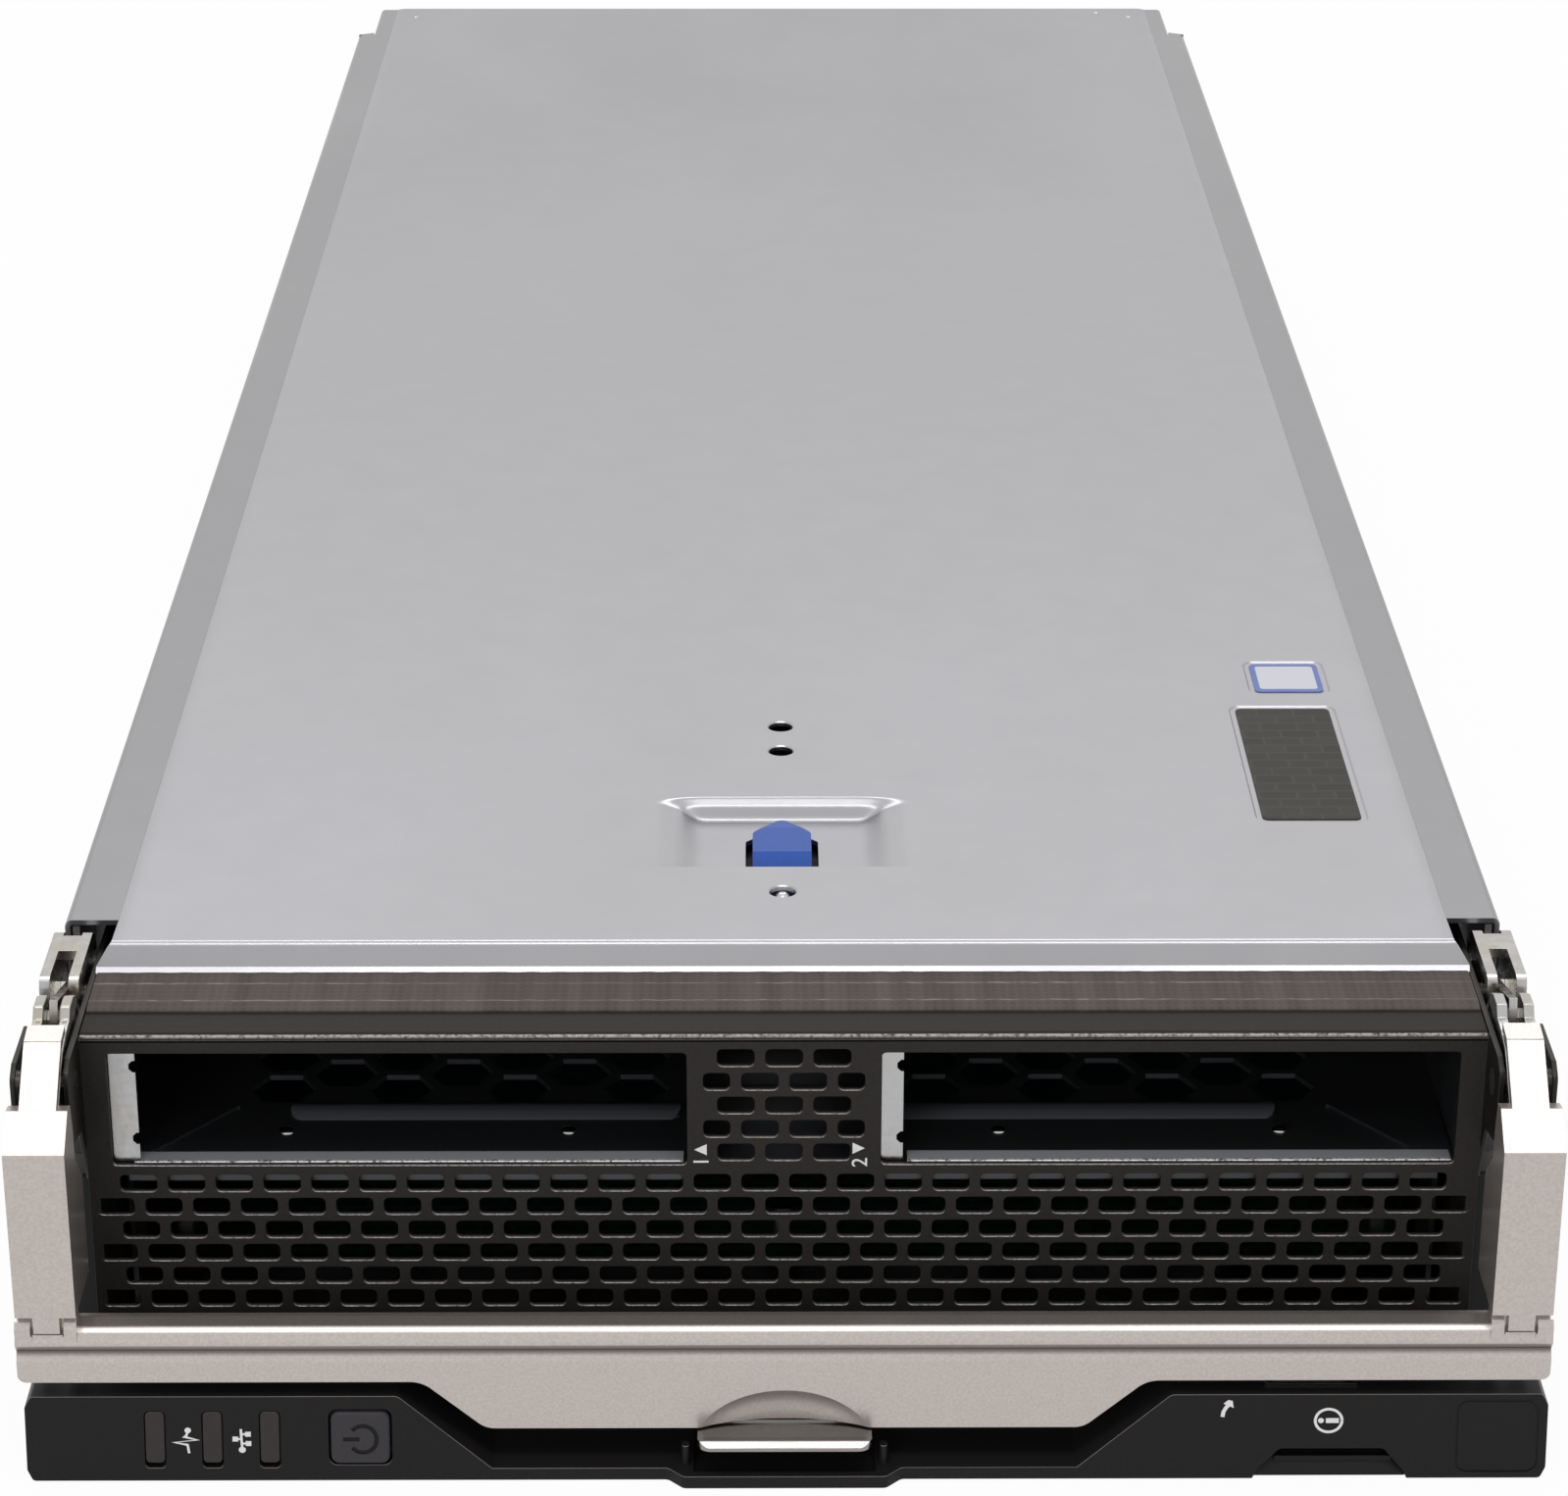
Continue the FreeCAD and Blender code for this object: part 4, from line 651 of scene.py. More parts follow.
def coverOpenings():
    # button window, eased round holes, dents at the rear and shallow beds for the labels
    top, radius, ease = cover["topMm"], cover["holeRadiusMm"], cover["holeEaseMm"]
    cutters = [prism(corners(cover["window"]), "z", 52.0, 62.0)]
    for y in cover["holeMm"]:
        cutters.append(prism(disc(0.0, y, radius, 36), "z", 55.0, 70.0))
        cutters.append(prism(disc(0.0, y, radius - 0.05, 34), "z", top - ease - 0.03, top + ease,
                             disc(0.0, y, radius + 2.0 * ease, 34)))
    deep = cover["dimpleDepthMm"]
    for x, y in cover["dimplesMm"]:
        foot, rim = [disc(x, y, radius) for radius in cover["dimpleRadiiMm"]]
        cutters.append(prism(foot, "z", top - deep, top + deep, rim))
    deep, ease, corner = cover["bedDepthMm"], 2.0 * cover["bedEaseMm"], cover["bedCornerMm"]
    for across, along in [label[0] for label in labels.values()]:
        cutters.append(prism(rect(across, along, corner), "z", top - deep, top + deep,
                             rect(grown(across, ease), grown(along, ease), corner + ease)))
    return cutters


def makeCover():
    panelMesh = cut(coverSheet(), coverOpenings())
    addPiece("coverPanel", panelMesh, "galvanised_steel", "cover", ["cover"], 30.0)


makeCover()
print("cover ready")


# cover rails, button, labels and stud

def makeRails():
    # each rail is one strip folded over the pan wall, narrower at the tail
    rail = {"edgeMm": 106.0, "tailEdgeMm": 102.3, "topMm": 63.2, "flangeMm": 9.5, "innerMm": 98.02,
            "sheetMm": 0.8, "lengthsMm": (29.0, 551.0, 577.0)}
    front, tail, rear = rail["lengthsMm"]
    edge, narrow, top = rail["edgeMm"], rail["tailEdgeMm"], rail["topMm"]
    parts = []
    for side in (1, -1):
        for outer, along in ((edge, (front, tail)), (narrow, (tail, rear))):
            path = [(outer, top - rail["flangeMm"]), (outer, top, 1.1), (rail["innerMm"], top)]
            outline = sheetOutline(path, -rail["sheetMm"])
            parts.append(prism([(side * p.x, p.y) for p in outline], "y", *along))
        step = [(side * narrow, tail), (side * edge, tail), (side * narrow, tail + 2.0)]
        parts.append(prism(step, "z", top - rail["sheetMm"], top - 0.01))
    addPiece("coverRails", joined(parts), "railSteel", "cover", ["cover_rails"], 30.0)


def makeButton():
    # blue house-shaped cap with a sloping front, over a dark sliding catch
    button = {"halfMm": 4.5, "frontMm": 47.5, "tipMm": 66.2, "topMm": 62.9, "lowMm": 57.6, "catchHalfMm": 7.3}
    half, front, tip, top, low = [button[k] for k in ("halfMm", "frontMm", "tipMm", "topMm", "lowMm")]
    eave = tip - 5.6
    plan = corners([(-half, front), (half, front), (half, eave, 1.4), (0, tip, 1.0), (-half, eave, 1.4)], 4)
    crown = [(front - 1.0, 50.0), (front - 1.0, 56.0), (front, 59.0, 1.2), (front + 2.6, 60.9, 1.2),
             (front + 6.2, top, 1.2), (tip - 4.0, top, 1.2), (tip + 1.0, top - 0.4, 1.2), (tip + 1.0, 50.0)]
    shape = cut(prism(plan, "z", low, top + 1.0), [prism(corners(crown, 3), "x", -7.0, 7.0)], "INTERSECT")
    cap = rounded(shape, 0.75, 4, 24.0)
    addPiece("latchButton", cap, "blue_plastic", "cover_button", ["cover_button"], 60.0)
    outline = rect((-button["catchHalfMm"], button["catchHalfMm"]), (front + 1.0, tip - 0.6), 1.0)
    catch = prism(outline, "z", low - 0.1, low + 0.75)
    addPiece("latchCatch", catch, "socket_plastic", "cover_button")


def makeLabels():
    # thin films in the beds, and the sticker's white field inside its blue border
    for name, ((across, along), slotName, node) in labels.items():
        outline = rect(grown(across, -filmGapMm), grown(along, -filmGapMm), 1.0)
        film = prism(outline, "z", 63.25, 63.43)
        addPiece(name + "Film", rounded(film, 0.06, 2), slotName, "cover", [node])
    across, along = labels["sticker"][0]
    inside = rect(grown(across, -filmGapMm - 0.9), grown(along, -filmGapMm - 1.1), 0.6)
    field = prism(inside, "z", 63.4, 63.45)
    addPiece("stickerField", field, "white_label", "cover")


def makeStud():
    # dome of the spring stud under the cover's front hole
    stud = {"depthMm": 38.9, "radiusMm": 1.2, "crownRadiusMm": 0.5, "heightsMm": (57.5, 62.3, 62.9)}
    foot, shoulder, tip = stud["heightsMm"]
    shank, crown = [disc(0.0, stud["depthMm"], stud[k], 24) for k in ("radiusMm", "crownRadiusMm")]
    parts = [prism(shank, "z", foot, shoulder), prism(shank, "z", shoulder, tip, crown)]
    addPiece("coverStud", rounded(joined(parts), 0.2, 2), "bright_steel", "cover")


makeRails()
makeButton()
makeLabels()
makeStud()


# bezel: slotted front plate, folded top shelf and side flanges
bezel = {"halfMm": 100.0, "lowMm": 3.4, "topMm": 59.2, "sheetMm": 1.0, "shelfMm": 20.4, "easeMm": 0.12,
         "bayMm": ((13.9, 96.5), (38.0, 56.1)), "slotMm": (5.35, 2.74), "slotCornerMm": 0.9,
         "pitchMm": 6.885, "riseMm": 3.81, "fieldTopMm": 35.1, "columnTopMm": 55.3,
         "fieldRows": 6, "columnRows": 5, "fieldSlots": 28}


def slotPlaces():
    # brick pattern: six rows under the bays, five short rows between them
    places = []
    pitch, rise, width = bezel["pitchMm"], bezel["riseMm"], bezel["slotMm"][0]
    for row in range(bezel["fieldRows"]):
        count = bezel["fieldSlots"] + row % 2
        z = bezel["fieldTopMm"] - row * rise
        places += [((i - (count - 1) / 2.0) * pitch, z, width) for i in range(count)]
    for row in range(bezel["columnRows"]):
        z = bezel["columnTopMm"] - row * rise
        if row % 2 == 0:
            places += [(i * pitch, z, width) for i in (-1, 0, 1)]
        else:
            places += [(i * pitch, z, width) for i in (-0.5, 0.5)]
            places += [(i * pitch * 1.4, z, width * 0.72) for i in (-1, 1)]
    return places


def platePunched(outer, holes, depthMm, easeMm):
    # a filled flat curve with holes, given thickness and eased edges, standing in the X-Z plane
    curve = bpy.data.curves.new("plate", "CURVE")
    curve.dimensions, curve.fill_mode = "2D", "BOTH"
    curve.extrude, curve.bevel_depth = (depthMm / 2.0 - easeMm) / 1000.0, easeMm / 1000.0
    curve.bevel_resolution = 2
    for outline in [outer] + holes:
        spline = curve.splines.new("POLY")
        spline.points.add(len(outline) - 1)
        for point, (a, b) in zip(spline.points, outline):
            point.co = (a / 1000.0, b / 1000.0, 0.0, 1.0)
        spline.use_cyclic_u = True
    mesh = baked(placed(curve))
    bpy.data.curves.remove(curve)
    upright = Matrix.Rotation(math.radians(90.0), 4, "X")
    mesh.transform(Matrix.Translation(at(0, depthMm / 2.0, 0)) @ upright)
    return mesh


def makeBezel():
    half, low, top, sheet, ease = [bezel[k] for k in ("halfMm", "lowMm", "topMm", "sheetMm", "easeMm")]
    holes = []
    for x, z, width in slotPlaces():
        across, along = grown((x, x), width / 2.0 + ease), grown((z, z), bezel["slotMm"][1] / 2.0 + ease)
        holes.append(rect(across, along, bezel["slotCornerMm"], 4))
    across, along = bezel["bayMm"]
    for side in (1, -1):
        holes.append(rect(grown(onSide(side, across), ease), grown(along, ease), 0.8, 3))
    plate = platePunched(rect((-half, half), (low, top - 1.0)), holes, sheet, ease)
    fold = sheetOutline([(0.0, top - 1.3), (0.0, top, 1.1), (bezel["shelfMm"], top)], sheet)
    parts = [plate, prism(fold, "x", -half, half)]
    for side in (1, -1):
        path = [(side * (half - 1.4), 0.05), (side * half, 0.05, 1.2), (side * half, 14.9)]
        parts.append(prism(sheetOutline(path, side * -sheet), "z", low, top - 1.1))
    addPiece("bezelPlate", joined(parts), "black_steel", "chassis", ["bezel"], 40.0)


def makeGasket():
    # cloth-covered foam strip: low crown, pressed seam lines and uneven creases
    gasket = {"halfMm": 99.9, "frontMm": 6.7, "rearMm": 19.3, "lowMm": 59.22, "riseMm": 0.72,
              "seamMm": (9.2, 14.6), "seamWidthMm": 0.16, "seamRiseMm": 0.1, "rows": 44}
    depth = gasket["rearMm"] - gasket["frontMm"]
    surface = []
    for k in range(gasket["rows"] + 1):
        y = gasket["frontMm"] + depth * k / gasket["rows"]
        share = (y - gasket["frontMm"]) / depth
        crown = min(1.0, 5.0 * min(share, 1.0 - share) + 0.25) ** 0.5
        row = []
        for x in evenly(-gasket["halfMm"], gasket["halfMm"], 0.8):
            wave = math.sin(x * 1.31 + 0.9 * math.sin(x * 0.37)) * math.sin(x * 0.173 + 1.7) * 0.06
            wander = 0.1 * math.sin(x * 0.05)
            seam = sum(math.exp(-((y - s - wander) / gasket["seamWidthMm"]) ** 2) for s in gasket["seamMm"])
            rise = gasket["riseMm"] * crown * (1.0 + wave) - 0.06 + seam * gasket["seamRiseMm"]
            row.append(at(x, y, gasket["lowMm"] + rise))
        surface.append(row)
    bm = gridOf(surface)
    border = [e for e in bm.edges if e.is_boundary]
    skirt = bmesh.ops.extrude_edge_only(bm, edges=border)["geom"]
    for vert in [g for g in skirt if isinstance(g, bmesh.types.BMVert)]:
        vert.co.z = at(0, 0, gasket["lowMm"]).z
    bmesh.ops.recalc_face_normals(bm, faces=bm.faces)
    addPiece("gasketStrip", meshOf(bm), "gasket_cloth", "chassis", ["gasket"], 60.0)


def makeCageFloor():
    # front ledge with a sheared bright edge, raised ridges, flared guides and rivet heads of both bays
    cage = {"ledgeMm": ((-93.5, -14.5), (17.8, 96.2)), "ledgeTopMm": 38.05, "floorMm": 37.4,
            "ridgeMm": (15.1, 72.5), "ridgeDepthMm": (14.6, 19.8), "ridgeRiseMm": 1.3, "guideMm": 96.6,
            "rivetMm": ((31.4, 11.5), (72.6, 11.5)), "rivetRadiiMm": (1.25, 1.25, 0.6)}
    top, floor, outer = cage["ledgeTopMm"], cage["floorMm"], cage["guideMm"]
    ledge = [(1.5, floor - 0.6), (1.5, top, 0.3), (4.2, top, 0.5), (5.0, floor), (5.0, floor - 0.6)]
    edge = [(1.1, floor - 0.4), (1.1, top + 0.02, 0.25), (1.62, top + 0.02), (1.62, floor - 0.4)]
    for name, outline, slotName in (("bayLedges", ledge, "ledgeLitCageSteel"), ("bayEdges", edge, "shearedEdge")):
        strips = [prism(corners(outline, 4), "x", *x) for x in cage["ledgeMm"]]
        addPiece(name, joined(strips), slotName, "chassis")
    front, rear = cage["ridgeDepthMm"]
    crown = []
    for k in range(17):
        y = front - 0.1 + (rear - front + 0.2) * k / 16.0
        crown.append((y, floor - 0.3 + cage["ridgeRiseMm"] * math.sin(math.pi * k / 16.0) ** 0.8))
    ridges, heads, guides = [], [], []
    for side in (1, -1):
        plan = rect(onSide(side, cage["ridgeMm"]), (front, rear), 2.4, 6)
        ridge = prism(plan, "z", floor - 0.5, floor + 1.6)
        ridges.append(cut(ridge, [prism(crown, "x", -110.0, 110.0)], "INTERSECT"))
        flare = ((outer, 1.7), (93.6, 1.7), (80.8, 18.0), (80.2, 18.3), (outer, 18.3))
        guides.append(prism([(side * x, y) for x, y in flare], "z", floor - 0.3, floor + 0.5))
        for x, y in cage["rivetMm"]:
            heads.append(ellipsoid((side * x, y, floor), cage["rivetRadiiMm"], (24, 12)))
    addPiece("cageRidges", joined(ridges), "ridgeLitCageSteel", "chassis")
    addPiece("cageGuides", joined(guides), "dark_steel", "chassis")
    addPiece("cageRivetHeads", joined(heads), "bright_steel", "chassis", ["cage_rivets"])


def makeCornerShadeBlocks():
    # black blocks in the stepped front corners of the tray behind the arms, as painted shade there
    block = {"innerMm": 100.3, "outerMm": 105.8, "frontMm": 10.4, "rearMm": 29.2, "heightMm": (0.4, 33.6)}
    inner, outer, front, rear = [block[k] for k in ("innerMm", "outerMm", "frontMm", "rearMm")]
    meshes = []
    for side in (1, -1):
        plan = corners([(side * inner, front), (side * outer, front + 1.6, 1.0), (side * outer, rear),
                        (side * inner, rear)])
        meshes.append(prism(plan, "z", *block["heightMm"]))
    addPiece("cornerShadeBlocks", rounded(joined(meshes), 0.5), "black_plastic", "chassis")


def makeBayNumbers():
    # numbers of the two bays, turned a quarter with an arrowhead towards each
    numbers = {"sizeMm": 3.2, "places": (("1", -10.85, 37.75), ("2", 11.95, 37.6)),
               "arrows": (((-12.9, 40.5), (-11.1, 41.4), (-11.1, 39.6)),
                          ((11.6, 40.7), (9.85, 41.6), (9.85, 39.8)))}
    digit = bpy.data.curves.new("digit", "FONT")
    digit.size, digit.extrude = numbers["sizeMm"] / 1000.0, 0.00002
    turn = Matrix.Rotation(math.radians(90.0), 4, "X") @ Matrix.Rotation(math.radians(90.0), 4, "Z")
    meshes = []
    for text, x, z in numbers["places"]:
        digit.body = text
        mesh = baked(placed(digit))
        mesh.transform(Matrix.Translation(at(x, -0.03, z)) @ turn)
        meshes.append(mesh)
    bpy.data.curves.remove(digit)
    meshes += [prism(points, "y", -0.03, 0.05) for points in numbers["arrows"]]
    addPiece("bayNumbers", joined(meshes), "ink", "chassis")


makeBezel()
makeGasket()
makeCageFloor()
makeCornerShadeBlocks()
makeBayNumbers()
print("bezel ready")


# handle: cast crossbar, arm covers, levers and thumb latch
bar = {"halfMm": 108.5, "frontMm": -21.0, "backMm": -12.4, "shelfMm": -16.3, "topMm": 23.1, "rearTopMm": 21.0,
       "creaseMm": 19.3, "sideLowMm": 14.6, "lowMm": 6.9, "wideHalfMm": 51.4, "narrowHalfMm": 42.5,
       "wallMm": 1.5, "lugTopMm": 24.85, "lugsMm": ((99.7, 101.7), (106.0, 108.45)), "backingHalfMm": 15.5,
       "scoopMm": (0.0, -25.0, 3.4), "scoopRadiiMm": (16.25, 7.0, 12.18)}
arm = {"innerMm": 99.6, "outerMm": 108.2, "neckMm": (101.2, 106.4), "frontMm": -21.0, "lowMm": 25.3,
       "kneeMm": 51.1, "shoulderMm": (-15.9, 55.5), "headMm": (-8.0, 62.3), "wallMm": 1.5, "backMm": -12.6,
       "innerBackMm": -7.8, "tabMm": (101.98, 105.72), "tabLowMm": 22.75}


def makeBar():
    # die-cast crossbar: rolled top edge, pressed crease, trapezoid middle and thumb scoop
    front, back, top, crease = [bar[k] for k in ("frontMm", "backMm", "topMm", "creaseMm")]
    rearTop, shelf, inner = bar["rearTopMm"], bar["shelfMm"], front + bar["wallMm"]
    section = [(back, rearTop), (shelf + 1.0, rearTop, 0.6), (shelf, top, 0.8), (front + 1.4, top, 0.9),
               (front + 0.6, top - 0.66, 0.9), (front, top - 1.9, 0.9), (front, crease + 1.4, 0.8),
               (front + 1.1, crease - 0.1, 0.45), (front + 0.25, crease - 1.3, 1.0), (front + 0.25, 5.0),
               (inner + 0.35, 5.0), (inner + 0.6, 18.6, 0.5), (inner + 0.5, top - bar["wallMm"], 0.5),
               (back, rearTop - bar["wallMm"])]
    half, wide, narrow = bar["halfMm"], bar["wideHalfMm"], bar["narrowHalfMm"]
    low, sideLow, over = bar["lowMm"], bar["sideLowMm"], top + 2.0
    face = [(-half, over), (-half, sideLow, 1.2), (-wide, sideLow, 4.5), (-narrow, low, 3.5),
            (narrow, low, 3.5), (wide, sideLow, 4.5), (half, sideLow, 1.2), (half, over)]
    outline = prism(corners(face, 8), "y", front - 2.0, back + 2.0)
    shell = cut(prism(corners(section, 6), "x", -half, half), [outline], "INTERSECT")
    crown = bar["lugTopMm"]
    profile = corners([(front + 0.04, crease + 1.9), (front + 0.04, crown - 1.6, 0.7),
                       (front + 0.65, crown - 0.7, 0.8), (front + 1.5, crown, 0.7), (front + 3.4, crown),
                       (front + 3.4, crease + 1.9)], 4)
    lugs, gates = [], []
    for side in (1, -1):
        lugs += [prism(profile, "x", *onSide(side, lug)) for lug in bar["lugsMm"]]
        gap = rect(onSide(side, grown(arm["tabMm"], 0.5)), (arm["tabLowMm"] - 0.5, top + 4.0))
        gates.append(prism(gap, "y", front - 1.0, front + 3.3))
    across = (-bar["backingHalfMm"], bar["backingHalfMm"])
    backing = prism(rect(across, (low + 0.05, 16.0), 2.0), "y", front + 1.2, front + 4.2)
    scoop = ellipsoid(bar["scoopMm"], bar["scoopRadiiMm"], (96, 64))
    shell = cut(shell, [backing], "UNION")
    shell = cut(shell, [scoop])
    shell = cut(cut(shell, lugs, "UNION"), gates)
    addPiece("crossbar", rounded(shell, 0.25, 2, 32.0), "silver_paint", "handle", ["handle_bar"], 22.0)


def makeArm(side, name, node):
    # cast arm cover: broad panel, slanted facet, narrow neck, interlocking tab, hollow behind
    front, low, knee, back, wall = [arm[k] for k in ("frontMm", "lowMm", "kneeMm", "backMm", "wallMm")]
    (shoulderY, shoulderZ), (headY, headZ) = arm["shoulderMm"], arm["headMm"]
    inner, outer, deepest = arm["innerMm"], arm["outerMm"], arm["innerBackMm"]
    outline = [(front, low), (front, knee, 0.5), (shoulderY, shoulderZ), (shoulderY + 2.4, shoulderZ - 0.4),
               (back, shoulderZ - 5.0), (back, low)]
    inside = [(front + wall, low - 1.0), (front + wall, knee - 0.8), (back + 9.0, knee + 11.0),
              (back + 9.0, low - 1.0)]
    deep = [(back - 3.0, low), (back - 3.0, 46.0), (back, 46.0), (deepest, 41.0), (deepest, low)]
    skin = [(front + 0.1, knee), (headY, headZ, 0.8), (-4.0, 62.8), (-4.0, 61.5), (-7.4, 61.2),
            (front + 1.9, knee - 1.0)]
    tab = [(front, low + 1.0), (front, arm["tabLowMm"]), (front + 3.0, arm["tabLowMm"]),
           (front + 3.0, low + 1.0)]

    def along(points, limits):
        return prism(corners(points, 6), "x", *onSide(side, limits))

    body = cut(along(outline, (inner, outer)), [along(inside, (inner + wall, outer - wall))])
    extras = [along(skin, arm["neckMm"]), along(tab, arm["tabMm"]), along(deep, (inner, inner + 1.2))]
    shell = rounded(cut(body, extras, "UNION"), 0.45, 3, 30.0)
    addPiece(name, shell, "silver_paint", "handle", [node], 24.0)


def makeLatchLip():
    # thumb latch: a dished tongue with a bright slanted lip and rounded corners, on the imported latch's hook
    # and barrel
    lip = {"halfMm": 12.4, "frontMm": -25.3, "rearMm": -18.2, "lowMm": 5.75, "topMm": 7.0}
    half, front, rear, low, top = [lip[k] for k in ("halfMm", "frontMm", "rearMm", "lowMm", "topMm")]
    section = corners([(front, low), (front, low + 0.5, 0.25), (front + 1.0, top, 0.4),
                       (front + 2.2, top - 0.2, 0.8), (rear, top - 0.5), (rear, low - 0.3)])
    plan = corners([(-half, front, 2.0), (half, front, 2.0), (half, rear), (-half, rear)], 8)
    blank = prism(section, "x", -half - 1.0, half + 1.0)
    shape = cut(blank, [prism(plan, "z", low - 2.0, top + 1.0)], "INTERSECT")
    addPiece("latchLip", rounded(shape, 0.3, 3, 30.0), "shadedLatchSteel", "release_latch", (), 30.0)
    tongue = prism(rect((-20.0, 20.0), (3.0, 8.0)), "y", -30.0, rear - 0.3)
    hook = cut(rounded(nodes["release_latch"].data, 0.4), [tongue])
    addPiece("latchHook", hook, "bright_steel", "release_latch", ["release_latch"])


makeBar()
makeArm(1, "armShellRight", "right_arm_cover")
makeArm(-1, "armShellLeft", "left_arm_cover")
for side in ("right", "left"):
    easedCopy(side + "_lever", 0.4, "zinc_plate")
    easedCopy(side + "_cam", 0.4, "zinc_plate")
    easedCopy(side + "_pivot_bracket", 0.25, "shadedBracketZinc", 2)
makeLatchLip()
print("handle ready")


# front panel
panel = {"halvesMm": {1: 108.5, -1: 107.8}, "heightMm": 12.4, "frontMm": -21.0, "backMm": -0.3, "wallMm": 1.6,
         "slantMm": (54.9, 41.6), "lipMm": 1.75, "bumpHalfMm": (14.4, 16.6), "bumpFrontMm": -23.3,
         "leanMm": 2.5, "leanDepthMm": (-17.0, -21.0), "windowsMm": (-89.4, -81.25, -73.1),
         "windowMm": (2.8, 2.6, 10.15), "powerMm": (-60.25, 8.4, 2.62, 10.15),
         "symbolMm": (-59.85, 6.3, 1.95, 0.62),
         "notchMm": ((70.4, 85.2), (66.6, 88.6), 4.4), "plateMm": ((95.4, 107.2), (0.9, 11.6)),
         "usbMm": ((68.3, 81.7), (-18.7, -12.7))}


def leaning(mesh):
    # the front face leans out towards its foot; the map fades out behind the face
    near, far = panel["leanDepthMm"]
    for vert in mesh.vertices:
        depth, high = vert.co.y * 1000.0 - faceY, vert.co.z * 1000.0
        share = min(1.0, max(0.0, (near - depth) / (near - far)))
        vert.co.y -= panel["leanMm"] * share * (1.0 - high / panel["heightMm"]) / 1000.0
    return mesh


def panelShell():
    # two deep end blocks, a thin lip between them with a bump under the latch, and the latch's keeper
    high, front, back, lip = [panel[k] for k in ("heightMm", "frontMm", "backMm", "lipMm")]
    slantTop, slantLow = panel["slantMm"]
    (bump, bumpFoot), bumpFront = panel["bumpHalfMm"], panel["bumpFrontMm"]
    parts = []
    for side, half in panel["halvesMm"].items():
        block = corners([(slantLow, 0), (half - 0.9, 0, 0.7), (half - 0.1, 1.6, 0.8), (half, high - 1.6, 0.8),
                         (half - 0.9, high, 0.6), (slantTop, high, 1.6), (slantLow, lip)], 4)
        parts.append(prism([(side * p.x, p.y) for p in block], "y", front, back))
    plan = [(-slantLow - 1, front), (-bumpFoot, front, 1.2), (-bump, bumpFront, 1.2), (bump, bumpFront, 1.2),
            (bumpFoot, front, 1.2), (slantLow + 1, front), (slantLow + 1, back), (-slantLow - 1, back)]
    parts.append(prism(corners(plan), "z", 0.0, lip))
    parts.append(prism(rect((-9.0, 9.0), (-11.6, -10.2)), "z", 1.4, 5.2))
    return cut(parts[0], parts[1:], "UNION")


def panelHollows():
    # the blocks are open behind, and the lip is dished under the latch and along its rear
    high, front, back, wall = [panel[k] for k in ("heightMm", "frontMm", "backMm", "wallMm")]
    (slantTop, slantLow), bump = panel["slantMm"], panel["bumpHalfMm"][0]
    hollows = []
    for side, half in panel["halvesMm"].items():
        outline = [(slantLow + 2.6, wall), (half - wall, wall), (half - wall, high - wall),
                   (slantTop + 0.6, high - wall)]
        hollows.append(prism([(side * x, z) for x, z in outline], "y", front + wall, back + 1.0))
    pocket = rect((1.5 - bump, bump - 1.5), (panel["bumpFrontMm"] + 1.4, -12.0))
    tray = rect((2.0 - slantLow, slantLow - 2.0), (-8.0, back + 1.0))
    return hollows + [prism(pocket, "z", 0.8, 3.0), prism(tray, "z", 1.0, 3.0)]


def panelOpenings():
    # three windows, the power button's opening and the label tab's notch with its sloping sides
    front, wall = panel["frontMm"], panel["wallMm"]
    width, low, top = panel["windowMm"]
    outlines = [rect(grown((x, x), width / 2.0 + 0.1), (low - 0.7, top + 0.1), 0.7)
                for x in panel["windowsMm"]]
    x, size, low, top = panel["powerMm"]
    outlines.append(rect(grown((x, x), size / 2.0 + 0.3), grown((low, top), 0.3), 1.2))
    openings = [prism(outline, "y", front - 1.0, front + wall + 1.0) for outline in outlines]
    (a, b), (c, d), rise = panel["notchMm"]
    notch = corners([(c, -1), (d, -1), (d, 0.0), (d - 0.6, 1.2, 1.2), (b, rise, 1.0), (a, rise, 1.0),
                     (c + 0.6, 1.2, 1.2), (c, 0.0)])
    return openings + [prism(notch, "y", front - 1.0, front + 3.4)]


def makePanel():
    # one black moulding, with a thin engraved frame at its right end and a port in its top edge
    high, front, bump = panel["heightMm"], panel["frontMm"], panel["bumpHalfMm"][0]
    moulding = rounded(leaning(cut(panelShell(), panelHollows() + panelOpenings())), 0.4, 3, 32.0)
    across, along = panel["plateMm"]
    island = prism(rect(grown(across, -0.35), grown(along, -0.35), 1.4), "y", front - 2.0, front + 1.0)
    groove = prism(rect(across, along, 1.7), "y", front - 1.0, front + 0.14)
    port = prism(rect(*panel["usbMm"]), "z", high - 3.0, high + 1.0)
    moulding = cut(moulding, [leaning(cut(groove, [island])), port])
    addPiece("panelMoulding", moulding, "black_plastic", "chassis", ["front_panel"], 30.0)
    pegs = [prism(disc(side * (bump - 0.3), -20.0, 0.6, 16), "z", 0.7, 4.6) for side in (1, -1)]
    addPiece("panelPegs", rounded(leaning(joined(pegs)), 0.25), "black_plastic", "chassis")


